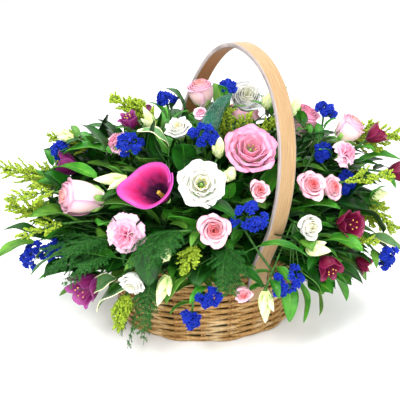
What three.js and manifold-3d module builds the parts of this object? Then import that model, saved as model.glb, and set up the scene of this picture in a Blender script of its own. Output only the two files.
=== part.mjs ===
// A basket of cut flowers with a bent-wood carrying hoop.
// Units are millimetres and +Z is up.  The origin is the middle of the basket's underside.
// +X runs along the longer side of the arrangement and -Y is its front.
import * as THREE from 'three';
import { mergeVertices } from 'three/addons/utils/BufferGeometryUtils.js';
import Module from 'manifold-3d';

const wasm = await Module();
wasm.setup();

// ---------------------------------------------------------------- driving dimensions
// GAP is left between pieces that touch.  CLEAR is kept round every piece while it is being placed.
const GAP = 0.3;
const CLEAR = 0.7;

const BASKET = {
  turn: THREE.MathUtils.degToRad(7),
  halfLength: 122,
  halfWidth: 98,
  flareLength: 9,
  flareWidth: 8,
  height: 92,
  wall: 6,
  floor: 6,
  stakes: 22,
  rows: 20,
  relief: 2,
};
const RIM = { inset: 4.5, long: 6.2, short: 4.4, sides: 5, steps: 20 };
const HANDLE = {
  turn: THREE.MathUtils.degToRad(57),
  footTurn: THREE.MathUtils.degToRad(65),
  lean: 0.178,
  leanFrom: 97,
  width: 24.5,
  thickness: 5.4,
  steps: 24,
  nailHeight: 80,
  nailDistance: 114.2,
  nailSpread: 5,
  nailRadius: 1.9,
};
// The hoop's centre line, from the front foot to the back foot: distance from the axis, height
const HANDLE_LINE = [
  [113.6, 62], [114.6, 92], [117.5, 112], [133, 165], [133, 223], [117, 278], [87, 323],
  [46, 352], [0, 362.5], [-35, 352], [-63, 325], [-86, 282], [-98, 240], [-108, 170],
  [-115, 112], [-114.4, 92], [-113.4, 62],
];
const LEAF = { rows: [[0.3, 0.94], [0.68, 0.84]], thick: 1.2, fold: 0.25, arch: 0.12, wave: 0.06 };
const BUD = { rows: [[0, 0.45], [0.5, 1]] };
// Heads wider than this have one more full tier of petals
const ROSE = { full: 20 };
const SPRAY = { full: 18 };
const CALLA = {
  sides: 8, seat: 5.4, thick: 1.6, draw: 0.38, slant: 0.1, rows: [[0.36, 0.34], [0.62, 0.64], [1, 0.84]],
};
const STATICE = { core: 0.55, flare: 1.35, throat: 0.8 };
const PLUME = { root: 2.2, bead: 2.4, middle: 0.55, droop: 0.08, levels: [0, 0.16, 0.42, 0.7, 1] };
const FROND = { pairs: 5, stem: 1.6, thick: 2, clear: 9 };
const LINER = { height: 82, wall: 1.6, clear: 1.2 };
const FOAM = {
  segments: 16, top: 108, shoulder: 90, baseLength: 102, baseWidth: 80, topLength: 90, topWidth: 66,
};
const STEM = {
  radius: 1.9,
  thin: 1.5,
  footRadius: 2,
  holeRadius: 3.3,
  footZ: 84,
  hubZ: 110,
  overRim: 118,
  steps: 3,
  sides: 3,
};
const TWIG = { root: 0.8, radius: 1.1, ahead: 0.25, choices: 16 };
const CALYX = { top: 5, length: 9 };
// Broad leaves that lie outward over the rim all round, as shares of the basket's oval
const SKIRT = { count: 13, inner: 0.56, outer: 1.12, baseZ: 120, tipZ: 118, width: 46 };

// Ways tried in turn, from the least change to the most
const STEM_WAYS = [0.35, 0.2, 0.5].flatMap((arrival) => [0, 14, 28, -10, 45].flatMap((lift) => (
  [0, 10, -10, 20, -20, 32, -32, 46, -46, 60, -60].map((bow) => ({ arrival, lift, bow })))));
const SWINGS = [1, 0.8, 0.6].flatMap((size) => [0, 14, -14, 28, -28, 42, -42, 56, -56].flatMap((swing) => (
  [0, 14, -14, 28, -28, 42, -42].map((lift) => ({ size, swing, lift })))));
const PUSHES = [0, 4, 8, 12, 16, 20, -5, 26];

const COLOURS = {
  wicker: 0xb98a55,
  wood: 0xc99a63,
  liner: 0x3b4a35,
  foam: 0x2f6b3a,
  blush: 0xf2c3c4,
  rosePink: 0xe88aa3,
  coral: 0xf0958c,
  white: 0xf7f3e6,
  magenta: 0xc23a84,
  carnation: 0xf3a6bd,
  purple: 0x6a2a63,
  burgundy: 0x5c1230,
  blue: 0x2438b8,
  lime: 0xa9b53a,
  fern: 0x3f7a35,
  leaf: 0x2f5f2c,
};

// ---------------------------------------------------------------- small helpers
const vec = (p) => new THREE.Vector3(p[0], p[1], p[2]);
const unit = (p) => vec(p).normalize();
const UP = vec([0, 0, 1]);

function makeRandom(seed) {
  let state = seed;
  return () => {
    state = (state * 1664525 + 1013904223) % 4294967296;
    return state / 4294967296;
  };
}

// A matrix that stands a piece at a place with its own +Z along a direction
function standing(place, direction, roll = 0) {
  const z = direction.clone().normalize();
  const guide = Math.abs(z.z) > 0.95 ? vec([0, 1, 0]) : UP;
  const x = new THREE.Vector3().crossVectors(guide, z).normalize();
  const y = new THREE.Vector3().crossVectors(z, x);
  const matrix = new THREE.Matrix4().makeBasis(x, y, z);
  matrix.multiply(new THREE.Matrix4().makeRotationZ(roll));
  return matrix.setPosition(place);
}

function signedVolume(points, triangles) {
  let sum = 0;
  for (let i = 0; i < triangles.length; i += 3) {
    const [a, b, c] = [points[triangles[i]], points[triangles[i + 1]], points[triangles[i + 2]]];
    sum += a.dot(new THREE.Vector3().crossVectors(b, c));
  }
  return sum;
}

function solidFrom(points, triangles) {
  if (signedVolume(points, triangles) < 0) triangles.reverse();
  const vertProperties = new Float32Array(points.length * 3);
  points.forEach((p, i) => p.toArray(vertProperties, i * 3));
  const triVerts = new Uint32Array(triangles);
  return new wasm.Manifold(new wasm.Mesh({ numProp: 3, vertProperties, triVerts }));
}

function bare(geometry) {
  geometry.deleteAttribute('normal');
  geometry.deleteAttribute('uv');
  return geometry;
}

function solidFromGeometry(geometry) {
  const merged = mergeVertices(bare(geometry), 1e-4);
  const position = merged.getAttribute('position');
  const points = [];
  for (let i = 0; i < position.count; i += 1) {
    points.push(new THREE.Vector3().fromBufferAttribute(position, i));
  }
  return solidFrom(points, [...merged.index.array]);
}

// A closed solid through rings of points.  A ring of one point is a tip.
// Both halves of a ring are split along matching diagonals, so thin blades never cross themselves.
function ringSolid(rings, { closed = false, matrix = null } = {}) {
  const points = [];
  const starts = [];
  for (const ring of rings) {
    starts.push(points.length);
    for (const p of ring) points.push(matrix ? p.clone().applyMatrix4(matrix) : p.clone());
  }
  const triangles = [];
  const last = closed ? rings.length : rings.length - 1;
  for (let i = 0; i < last; i += 1) {
    const next = (i + 1) % rings.length;
    const sizeA = rings[i].length;
    const sizeB = rings[next].length;
    const count = Math.max(sizeA, sizeB);
    for (let j = 0; j < count; j += 1) {
      const k = (j + 1) % count;
      const a0 = starts[i] + (sizeA > 1 ? j : 0);
      const a1 = starts[i] + (sizeA > 1 ? k : 0);
      const b0 = starts[next] + (sizeB > 1 ? j : 0);
      const b1 = starts[next] + (sizeB > 1 ? k : 0);
      if (sizeA === 1) triangles.push(a0, b0, b1);
      else if (sizeB === 1) triangles.push(a0, b0, a1);
      else if (j < count / 2) triangles.push(a0, b0, b1, a0, b1, a1);
      else triangles.push(a0, b0, a1, a1, b0, b1);
    }
  }
  if (!closed) {
    const end = rings.length - 1;
    for (let j = 1; j + 1 < rings[0].length; j += 1) {
      triangles.push(starts[0], starts[0] + j, starts[0] + j + 1);
    }
    for (let j = 1; j + 1 < rings[end].length; j += 1) {
      triangles.push(starts[end], starts[end] + j + 1, starts[end] + j);
    }
  }
  return solidFrom(points, triangles);
}

const fuse = (solids) => (solids.length === 1 ? solids[0] : wasm.Manifold.union(solids));

// Keeps the main body, which also fills sealed hollows and drops loose scraps
function oneBody(solid) {
  const bodies = solid.decompose();
  let best = bodies[0];
  let bestSize = 0;
  for (const body of bodies) {
    const size = boxOf(body).getSize(new THREE.Vector3()).length();
    if (size > bestSize) {
      bestSize = size;
      best = body;
    }
  }
  return best;
}

function boxOf(solid) {
  const { vertProperties, numProp } = solid.getMesh();
  const box = new THREE.Box3();
  const p = new THREE.Vector3();
  for (let i = 0; i < vertProperties.length; i += numProp) {
    box.expandByPoint(p.fromArray(vertProperties, i));
  }
  return box;
}

// ---------------------------------------------------------------- nodes and their clearances
// Every node gathers its solids here, so that later pieces can be bent clear of earlier ones
const nodes = new Map();
const obstacles = [];
const problems = [];

function addPiece(node, solid) {
  if (!nodes.has(node)) nodes.set(node, []);
  nodes.get(node).push(solid);
  obstacles.push({ node, solid, box: boxOf(solid) });
}

function isClear(node, solid) {
  const box = boxOf(solid);
  return obstacles.every((other) => {
    if (other.node === node || !other.box.intersectsBox(box)) return true;
    return other.solid.intersect(solid).isEmpty();
  });
}

// ---------------------------------------------------------------- basket, rim, handle, liner, foam
function ovalPoint(angle, height, outset) {
  const rise = height / BASKET.height;
  const x = (BASKET.halfLength + BASKET.flareLength * rise + outset) * Math.cos(angle);
  const y = (BASKET.halfWidth + BASKET.flareWidth * rise + outset) * Math.sin(angle);
  return vec([x, y, height]).applyAxisAngle(UP, BASKET.turn);
}

function ovalRing(count, height, outset) {
  return Array.from({ length: count }, (_, j) => {
    const extra = typeof outset === 'function' ? outset(j) : outset;
    return ovalPoint((j / count) * 2 * Math.PI, height, extra);
  });
}

// The wall is woven: every rod passes over one stake and under the next
function makeBasket() {
  const ring = (height, outset) => ovalRing(BASKET.stakes, height, outset);
  const rings = [[vec([0, 0, 0])], ring(0, 0)];
  for (let row = 0; row < BASKET.rows; row += 1) {
    const height = (BASKET.height * (row + 0.5)) / BASKET.rows;
    rings.push(ring(height, (j) => BASKET.relief * ((j + row) % 2 ? 1 : -1)));
  }
  rings.push(ring(BASKET.height, 0));
  rings.push(ring(BASKET.height, -BASKET.wall));
  rings.push(ring(BASKET.floor, -BASKET.wall));
  rings.push([vec([0, 0, BASKET.floor])]);
  return ringSolid(rings);
}

// Two willow rods twisted round each other along the top of the wall
function makeRim() {
  const centreZ = BASKET.height + GAP + RIM.long;
  const twist = Math.PI / RIM.sides;
  const rings = [];
  for (let step = 0; step < RIM.steps; step += 1) {
    const around = (step / RIM.steps) * 2 * Math.PI;
    const centre = ovalPoint(around, BASKET.height, -RIM.inset).setZ(centreZ);
    const outward = ovalPoint(around, BASKET.height, 0).setZ(centreZ).sub(centre).normalize();
    const turn = (step % RIM.sides) * twist;
    const ring = [];
    for (let side = 0; side < RIM.sides; side += 1) {
      const angle = (side / RIM.sides) * 2 * Math.PI;
      const reach = Math.hypot(RIM.long * Math.cos(angle - turn), RIM.short * Math.sin(angle - turn));
      const point = centre.clone().addScaledVector(outward, reach * Math.cos(angle));
      ring.push(point.setZ(centreZ + reach * Math.sin(angle)));
    }
    rings.push(ring);
  }
  return ringSolid(rings, { closed: true });
}

function handlePoint(distance, height) {
  const lean = HANDLE.lean * Math.max(0, height - HANDLE.leanFrom);
  const c = Math.cos(HANDLE.turn);
  const s = Math.sin(HANDLE.turn);
  return vec([distance * c + lean * s, -distance * s + lean * c, height]);
}

const handleCurve = new THREE.CatmullRomCurve3(HANDLE_LINE.map(([r, z]) => handlePoint(r, z)));

// A steamed flat band bent to a hoop, its feet turned to lie flat on the wall
function makeHandle() {
  const rings = [];
  for (let step = 0; step <= HANDLE.steps; step += 1) {
    const t = step / HANDLE.steps;
    const centre = handleCurve.getPointAt(t);
    const tangent = handleCurve.getTangentAt(t);
    const low = THREE.MathUtils.clamp((160 - centre.z) / 60, 0, 1);
    const turn = THREE.MathUtils.lerp(HANDLE.turn, HANDLE.footTurn, low);
    const across = vec([Math.sin(turn), Math.cos(turn), 0]);
    across.addScaledVector(tangent, -across.dot(tangent)).normalize();
    const outward = new THREE.Vector3().crossVectors(tangent, across);
    const corner = (w, h) => centre.clone()
      .addScaledVector(across, (w * HANDLE.width) / 2)
      .addScaledVector(outward, (h * HANDLE.thickness) / 2);
    rings.push([corner(-1, -1), corner(1, -1), corner(1, 1), corner(-1, 1)]);
  }
  const pieces = [ringSolid(rings)];
  for (const side of [1, -1]) {
    for (const shift of [-HANDLE.nailSpread, HANDLE.nailSpread]) {
      const turn = HANDLE.footTurn;
      const face = vec([Math.cos(turn) * side, -Math.sin(turn) * side, 0]);
      const sideways = vec([Math.sin(turn), Math.cos(turn), 0]);
      const centre = handlePoint(HANDLE.nailDistance * side, HANDLE.nailHeight);
      centre.addScaledVector(sideways, shift).addScaledVector(face, HANDLE.thickness / 2 - 1);
      const nail = new THREE.CylinderGeometry(HANDLE.nailRadius * 0.5, HANDLE.nailRadius, 2, 4);
      nail.rotateX(Math.PI / 2);
      nail.applyMatrix4(standing(centre, face));
      pieces.push(solidFromGeometry(nail));
    }
  }
  return fuse(pieces);
}

function makeLiner() {
  const out = -BASKET.wall - LINER.clear;
  const low = BASKET.floor + GAP;
  const ring = (height, outset) => ovalRing(BASKET.stakes, height, outset);
  return ringSolid([
    [vec([0, 0, low])],
    ring(low, out),
    ring(LINER.height, out),
    ring(LINER.height, out - LINER.wall),
    ring(low + LINER.wall, out - LINER.wall),
    [vec([0, 0, low + LINER.wall])],
  ]);
}

function makeFoam() {
  const low = BASKET.floor + GAP + LINER.wall + GAP;
  const oval = (height, length, width) => Array.from({ length: FOAM.segments }, (_, j) => {
    const angle = (j / FOAM.segments) * 2 * Math.PI;
    return vec([length * Math.cos(angle), width * Math.sin(angle), height]).applyAxisAngle(UP, BASKET.turn);
  });
  return ringSolid([
    oval(low, FOAM.baseLength, FOAM.baseWidth),
    oval(FOAM.shoulder, FOAM.baseLength, FOAM.baseWidth),
    oval(FOAM.top, FOAM.topLength, FOAM.topWidth),
  ]);
}

// One plain hole in the foam for every sprig
function pierce(block, feet) {
  return feet.reduce((rest, [x, y]) => {
    const line = [vec([x, y, STEM.footZ - GAP]), vec([x, y, FOAM.top + 2])];
    return rest.subtract(stemSolid(line, [STEM.holeRadius, STEM.holeRadius]));
  }, block);
}

// ---------------------------------------------------------------- heads with petals in tiers
// Petals sit on a core as scales sit on a pine cone.  The core's rings are [radius, height], and each
// ring's corners lie halfway between those of the ring below, so four corners bound a diamond.
// Every tier of diamonds may grow petals.  A petal's rows are [distance from the axis, height, half
// angle in degrees].  One side edge lies inside its neighbour and the other outside, as petals
// overlap.  A tip is [distance, height].
function tieredHead({ count, rings, tiers, matrix, shape = (p) => p, seed = 1 }) {
  const random = makeRandom(seed);
  const points = [];
  const triangles = [];
  const put = (p) => points.push(shape(p).applyMatrix4(matrix)) - 1;
  const polar = (radius, turn, z) => vec([radius * Math.cos(turn), radius * Math.sin(turn), z]);
  const step = (2 * Math.PI) / count;
  const core = rings.map(([radius, z], t) => Array.from({ length: count }, (_, i) => (
    put(polar(radius, (i + 0.5 * (t % 2)) * step, z)))));
  const corner = (t, i) => core[t][(i + count) % count];
  const last = rings.length - 1;
  const lowSide = (t, i) => (t % 2 ? corner(t + 1, i) : corner(t + 1, i - 1));
  const highSide = (t, i) => (t % 2 ? corner(t + 1, i + 1) : corner(t + 1, i));

  function growPetal(root, turn, { rows, tip, thick = 1.5, skew = 0.08, dip = 0, jitter = 0.03 }) {
    const size = 1 + jitter * (2 * random() - 1);
    let ring = root;
    rows.forEach(([r, z, half], k) => {
      const angle = THREE.MathUtils.degToRad(half);
      const drop = k === rows.length - 1 ? dip : 0;
      const edge = (side) => put(polar(r * size * (1 + skew * side), turn + side * angle, z - drop));
      const middle = (side) => put(polar(r * size + (side * thick) / 2, turn, z));
      const next = [edge(-1), middle(1), edge(1), middle(-1)];
      const [l, b, h, u] = ring;
      const [nl, nb, nh, nu] = next;
      triangles.push(l, b, nb, l, nb, nl, b, h, nb, h, nh, nb);
      triangles.push(h, u, nu, h, nu, nh, u, l, nu, l, nl, nu);
      ring = next;
    });
    if (tip) {
      const end = put(polar(tip[0] * size, turn, tip[1]));
      ring.forEach((point, k) => triangles.push(point, ring[(k + 1) % 4], end));
    } else {
      triangles.push(ring[0], ring[1], ring[3], ring[1], ring[2], ring[3]);
    }
  }

  for (let i = 0; i < count; i += 1) {
    triangles.push(corner(0, i), corner(0, i + 1), corner(1, i));
    const top = last - 1;
    triangles.push(lowSide(top, i), corner(top, i), highSide(top, i));
    for (let t = 0; t + 2 <= last; t += 1) {
      const root = [lowSide(t, i), corner(t, i), highSide(t, i), corner(t + 2, i)];
      const tier = tiers[t];
      if (tier && !(tier.skip ?? []).includes(i)) growPetal(root, (i + 0.5 * (t % 2)) * step, tier);
      else triangles.push(root[0], root[1], root[3], root[1], root[2], root[3]);
    }
  }
  for (let i = 1; i + 1 < count; i += 1) {
    triangles.push(corner(0, 0), corner(0, i + 1), corner(0, i));
    triangles.push(corner(last, 0), corner(last, i), corner(last, i + 1));
  }
  return solidFrom(points, triangles);
}

// ---------------------------------------------------------------- leaves and blades
// A ring of four corners round a point, across and through a blade or a twig
function diamond(centre, across, through, wide, thick, lift = [0, 0]) {
  const at = (w, h, e) => (
    centre.clone().addScaledVector(across, w * wide).addScaledVector(through, h * thick + e));
  return [at(-1, 0, lift[0]), at(0, 1, 0), at(1, 0, lift[1]), at(0, -1, 0)];
}

function squareTo(direction, wanted) {
  return wanted.clone().addScaledVector(direction, -wanted.dot(direction)).normalize();
}

// A leaf with its stalk: folded a little along its midrib, arched, with waved edges
function leafSolid(stalk, base, tip, width, pad) {
  const length = base.distanceTo(tip);
  const along = tip.clone().sub(base).normalize();
  const guide = Math.abs(along.z) > 0.9 ? vec([along.x >= 0 ? 1 : -1, 0.3, 0]) : UP;
  const across = new THREE.Vector3().crossVectors(along, guide).normalize();
  const up = new THREE.Vector3().crossVectors(across, along).normalize();
  const outward = base.clone().sub(stalk).normalize();
  const sideways = squareTo(outward, across);
  const upward = new THREE.Vector3().crossVectors(sideways, outward);
  const rings = [
    diamond(stalk, sideways, upward, TWIG.root + pad, TWIG.root + pad),
    diamond(base, across, up, TWIG.radius + pad, TWIG.radius + pad),
  ];
  LEAF.rows.forEach(([t, w], i) => {
    const half = (width / 2) * w;
    const ripple = LEAF.wave * width * w * (i % 2 ? 1 : -1);
    const centre = base.clone().addScaledVector(along, t * length);
    centre.addScaledVector(up, LEAF.arch * length * 4 * t * (1 - t));
    const lift = [LEAF.fold * half - ripple, LEAF.fold * half + ripple];
    rings.push(diamond(centre, across, up, half + pad, LEAF.thick / 2 + pad, lift));
  });
  return ringSolid([...rings, [tip.clone().addScaledVector(along, pad)]]);
}

// A closed bud on its stalk
function budSolid(stalk, base, axis, radius, length, pad) {
  const outward = base.clone().sub(stalk).normalize();
  const side = squareTo(outward, Math.abs(outward.z) > 0.9 ? vec([1, 0, 0]) : UP);
  const other = new THREE.Vector3().crossVectors(side, outward);
  const sideB = squareTo(axis, side);
  const otherB = new THREE.Vector3().crossVectors(sideB, axis);
  const rings = [diamond(stalk, side, other, TWIG.root + pad, TWIG.root + pad)];
  for (const [t, w] of BUD.rows) {
    const centre = base.clone().addScaledVector(axis, t * length);
    rings.push(diamond(centre, sideB, otherB, w * radius + pad, w * radius + pad));
  }
  return ringSolid([...rings, [base.clone().addScaledVector(axis, length + pad)]]);
}

// A small flat blade from its root to its tip
function bladeSolid(root, tip, width, thick) {
  const along = tip.clone().sub(root).normalize();
  const across = new THREE.Vector3().crossVectors(along, UP).normalize();
  const up = new THREE.Vector3().crossVectors(across, along);
  const middle = root.clone().lerp(tip, 0.4);
  return ringSolid([[root], diamond(middle, across, up, width / 2, thick / 2), [tip]]);
}

// ---------------------------------------------------------------- bloom heads
// Each head is modelled standing on its calyx: +Z is the way it faces and z = 0 is its seat.
function lathe(profile, sides, matrix) {
  const rings = profile.map(([r, z]) => {
    if (r === 0) return [vec([0, 0, z])];
    return Array.from({ length: sides }, (_, i) => {
      const angle = (i / sides) * 2 * Math.PI;
      return vec([r * Math.cos(angle), r * Math.sin(angle), z]);
    });
  });
  return ringSolid(rings, { matrix });
}

function makeRose({ radius: R, height: H, matrix, seed }) {
  return tieredHead({
    count: 5,
    rings: [[5.4, 0], [0.34 * R, 0.1 * H], [0.4 * R, 0.3 * H], [0.36 * R, 0.6 * H], [0.2 * R, 0.84 * H]],
    tiers: [
      { rows: [[0.9 * R, 0.34 * H, 40], [1.06 * R, 0.86 * H, 33]], dip: 0.08 * H },
      { rows: [[0.72 * R, 0.5 * H, 41], [0.76 * R, 0.93 * H, 34]], dip: 0.06 * H },
      R > ROSE.full ? { rows: [[0.46 * R, 0.98 * H, 38]], dip: 0.04 * H, thick: 2 } : null,
    ],
    matrix,
    seed,
  });
}

// Ruffled cup of broad petals round a small green heart
function makeLisianthus({ radius: R, height: H, matrix, seed }) {
  return tieredHead({
    count: 5,
    rings: [[5.4, 0], [0.24 * R, 0.14 * H], [0.24 * R, 0.3 * H], [0.2 * R, 0.55 * H], [0.1 * R, 0.7 * H]],
    tiers: [
      { rows: [[0.68 * R, 0.4 * H, 41], [R, 0.74 * H, 35]], dip: -0.14 * H },
      { rows: [[0.6 * R, 0.92 * H, 37]], dip: -0.08 * H, thick: 2 },
      null,
    ],
    matrix,
    seed,
  });
}

function makeSprayRose({ radius: R, height: H, matrix, seed }) {
  const full = { rows: [[0.8 * R, 0.36 * H, 40], [R, 0.78 * H, 33]], dip: 0.12 * H };
  const small = { rows: [[0.98 * R, 0.72 * H, 36]], dip: 0.12 * H, thick: 2 };
  return tieredHead({
    count: 5,
    rings: [[5.2, 0], [0.34 * R, 0.16 * H], [0.38 * R, 0.4 * H], [0.3 * R, 0.7 * H], [0.16 * R, 0.86 * H]],
    tiers: [
      R > SPRAY.full ? full : small,
      { rows: [[0.68 * R, 0.88 * H, 38]], dip: 0.06 * H, thick: 2 },
      null,
    ],
    matrix,
    seed,
  });
}

// Many short frilled petals fanned out of a small core
function makeCarnation({ radius: R, height: H, matrix, seed }) {
  return tieredHead({
    count: 5,
    rings: [[5.4, 0], [0.36 * R, 0.2 * H], [0.4 * R, 0.42 * H], [0.34 * R, 0.62 * H], [0.2 * R, 0.78 * H]],
    tiers: [
      { rows: [[0.98 * R, 0.42 * H, 36]], dip: 0.16 * H, thick: 2.4, jitter: 0.06 },
      { rows: [[0.84 * R, 0.74 * H, 37]], dip: -0.14 * H, thick: 2.4, jitter: 0.06 },
      { rows: [[0.5 * R, 0.98 * H, 36]], dip: 0.12 * H, thick: 2.2, jitter: 0.06 },
    ],
    matrix,
    seed,
  });
}

// One rolled spathe, open to one side and drawn out to a tip, round a finger-like spadix
function makeCalla({ radius: R, height: H, matrix }) {
  const around = (make) => (
    Array.from({ length: CALLA.sides }, (_, i) => make((i / CALLA.sides) * 2 * Math.PI)));
  const skin = (inset) => CALLA.rows.map(([r, z], k) => around((angle) => {
    const tip = Math.max(0, Math.cos(angle)) ** 3;
    const open = (k + 1) / CALLA.rows.length;
    const radius = R * r * (1 + CALLA.draw * tip * open * open) - inset;
    const height = H * (z + open * open * (0.16 * tip - CALLA.slant * Math.cos(angle)));
    return vec([radius * Math.cos(angle), radius * Math.sin(angle), height + inset * 0.6]);
  }));
  const seat = around((angle) => vec([CALLA.seat * Math.cos(angle), CALLA.seat * Math.sin(angle), 0]));
  const throat = [vec([0, 0, 0.14 * H])];
  const rings = [[vec([0, 0, 0])], seat, ...skin(0), ...skin(CALLA.thick).reverse(), throat];
  const shell = ringSolid(rings, { matrix });
  const finger = lathe([[0, 0.1 * H], [2.4, 0.12 * H], [3.2, 0.5 * H], [0, 0.56 * H]], 5, matrix);
  return fuse([shell, finger]);
}

const HEAD_MAKERS = {
  rose: makeRose,
  lisianthus: makeLisianthus,
  sprayRose: makeSprayRose,
  carnation: makeCarnation,
  calla: makeCalla,
};

// Where each head sits: the middle of the bloom, the way it faces, its radius and its height
const HEADS = [
  { node: 'rose_left', kind: 'rose', colour: 'blush',
    at: [-158, -68, 188], facing: [-0.85, -0.4, 0.22], radius: 23, height: 58 },
  { node: 'rose_top', kind: 'rose', colour: 'blush',
    at: [-8, 30, 300], facing: [-0.15, -0.25, 0.95], radius: 18, height: 38 },
  { node: 'rose_white', kind: 'rose', colour: 'white',
    at: [52, 30, 292], facing: [0.15, -0.35, 0.9], radius: 23, height: 40 },
  { node: 'rose_right', kind: 'rose', colour: 'blush',
    at: [186, 8, 257], facing: [0.55, -0.15, 0.8], radius: 18, height: 38 },
  { node: 'rose_upper_right', kind: 'rose', colour: 'rosePink',
    at: [128, 24, 266], facing: [0.35, -0.3, 0.88], radius: 19, height: 40 },
  { node: 'rose_back_left', kind: 'rose', colour: 'blush',
    at: [-118, 100, 186], facing: [-0.62, 0.72, 0.25], radius: 22, height: 50 },
  { node: 'rose_back', kind: 'rose', colour: 'rosePink',
    at: [74, 122, 186], facing: [0.35, 0.88, 0.28], radius: 22, height: 48 },
  { node: 'lisianthus_front', kind: 'lisianthus', colour: 'white',
    at: [-8, -118, 222], facing: [0.05, -0.86, 0.5], radius: 27, height: 26 },
  { node: 'lisianthus_pink', kind: 'lisianthus', colour: 'rosePink',
    at: [50, -76, 250], facing: [0.1, -0.72, 0.68], radius: 31, height: 34 },
  { node: 'lisianthus_right', kind: 'lisianthus', colour: 'white',
    at: [118, -116, 170], facing: [0.45, -0.85, 0.2], radius: 18, height: 24 },
  { node: 'lisianthus_low_left', kind: 'lisianthus', colour: 'white',
    at: [-88, -138, 108], facing: [-0.3, -0.85, -0.35], radius: 15, height: 26 },
  { node: 'lisianthus_upper_left', kind: 'lisianthus', colour: 'white',
    at: [-36, -42, 268], facing: [-0.2, -0.5, 0.8], radius: 16, height: 24 },
  { node: 'lisianthus_back', kind: 'lisianthus', colour: 'white',
    at: [2, 134, 205], facing: [0.05, 0.88, 0.45], radius: 26, height: 26 },
  { node: 'lisianthus_back_pink', kind: 'lisianthus', colour: 'rosePink',
    at: [48, 92, 252], facing: [0.1, 0.7, 0.7], radius: 27, height: 32 },
  { node: 'calla_front', kind: 'calla', colour: 'magenta',
    at: [-60, -108, 211], facing: [-0.32, -0.7, 0.62], radius: 27, height: 62, roll: 2.7 },
  { node: 'spray_rose_front', kind: 'sprayRose', colour: 'coral',
    at: [6, -142, 177], facing: [0.05, -0.96, 0.22], radius: 23, height: 28 },
  { node: 'spray_rose_top', kind: 'sprayRose', colour: 'carnation',
    at: [-8, -8, 278], facing: [-0.1, -0.45, 0.88], radius: 13, height: 22 },
  { node: 'spray_rose_low', kind: 'sprayRose', colour: 'coral',
    at: [41, -142, 96], facing: [0.15, -0.92, -0.25], radius: 14, height: 20 },
  { node: 'spray_rose_back', kind: 'sprayRose', colour: 'coral',
    at: [-2, 140, 150], facing: [0, 0.97, 0.1], radius: 19, height: 26 },
  { node: 'spray_roses_right', kind: 'sprayRose', colour: 'coral',
    at: [124, -76, 206], facing: [0.3, -0.75, 0.55], radius: 18, height: 26 },
  { node: 'spray_roses_right', kind: 'sprayRose', colour: 'coral',
    at: [150, -64, 200], facing: [0.55, -0.7, 0.4], radius: 16, height: 24 },
  { node: 'spray_roses_centre', kind: 'sprayRose', colour: 'coral',
    at: [58, -116, 214], facing: [0.2, -0.85, 0.45], radius: 11, height: 20 },
  { node: 'carnation_left', kind: 'carnation', colour: 'carnation',
    at: [-98, -126, 162], facing: [-0.4, -0.88, 0.2], radius: 22, height: 22 },
  { node: 'carnation_upper_left', kind: 'carnation', colour: 'carnation',
    at: [-118, -6, 242], facing: [-0.5, -0.3, 0.8], radius: 17, height: 20 },
  { node: 'carnation_right', kind: 'carnation', colour: 'carnation',
    at: [174, -40, 238], facing: [0.5, -0.6, 0.58], radius: 16, height: 20 },
  { node: 'carnation_low_right', kind: 'carnation', colour: 'carnation',
    at: [194, -48, 136], facing: [0.75, -0.6, 0.05], radius: 14, height: 18 },
  { node: 'carnation_back', kind: 'carnation', colour: 'carnation',
    at: [134, 88, 166], facing: [0.72, 0.66, 0.2], radius: 20, height: 22 },
];

// The seat of a head is half its height behind its middle, on the calyx that carries it
HEADS.forEach((head, i) => {
  head.seed = 11 + i;
  head.axis = unit(head.facing);
  head.seat = vec(head.at).addScaledVector(head.axis, -head.height / 2);
  head.matrix = standing(head.seat, head.axis, head.roll ?? 0);
});

// ---------------------------------------------------------------- stems, buds and sprigs
// A tapering stem through a line of points
function stemSolid(line, radii, sides = 4) {
  let side = null;
  const rings = line.map((point, k) => {
    const before = line[Math.max(0, k - 1)];
    const after = line[Math.min(line.length - 1, k + 1)];
    const along = after.clone().sub(before).normalize();
    side = squareTo(along, side ?? (Math.abs(along.z) > 0.9 ? vec([1, 0, 0]) : UP));
    const other = new THREE.Vector3().crossVectors(along, side);
    return Array.from({ length: sides }, (_, i) => {
      const angle = (i / sides) * 2 * Math.PI;
      return point.clone().addScaledVector(side, radii[k] * Math.cos(angle))
        .addScaledVector(other, radii[k] * Math.sin(angle));
    });
  });
  return ringSolid(rings);
}

// A point on the straight pieces of a line, a share of the way along it
function pointAlong(line, share) {
  const reach = share * (line.length - 1);
  const k = Math.min(Math.floor(reach), line.length - 2);
  return line[k].clone().lerp(line[k + 1], reach - k);
}

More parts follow.
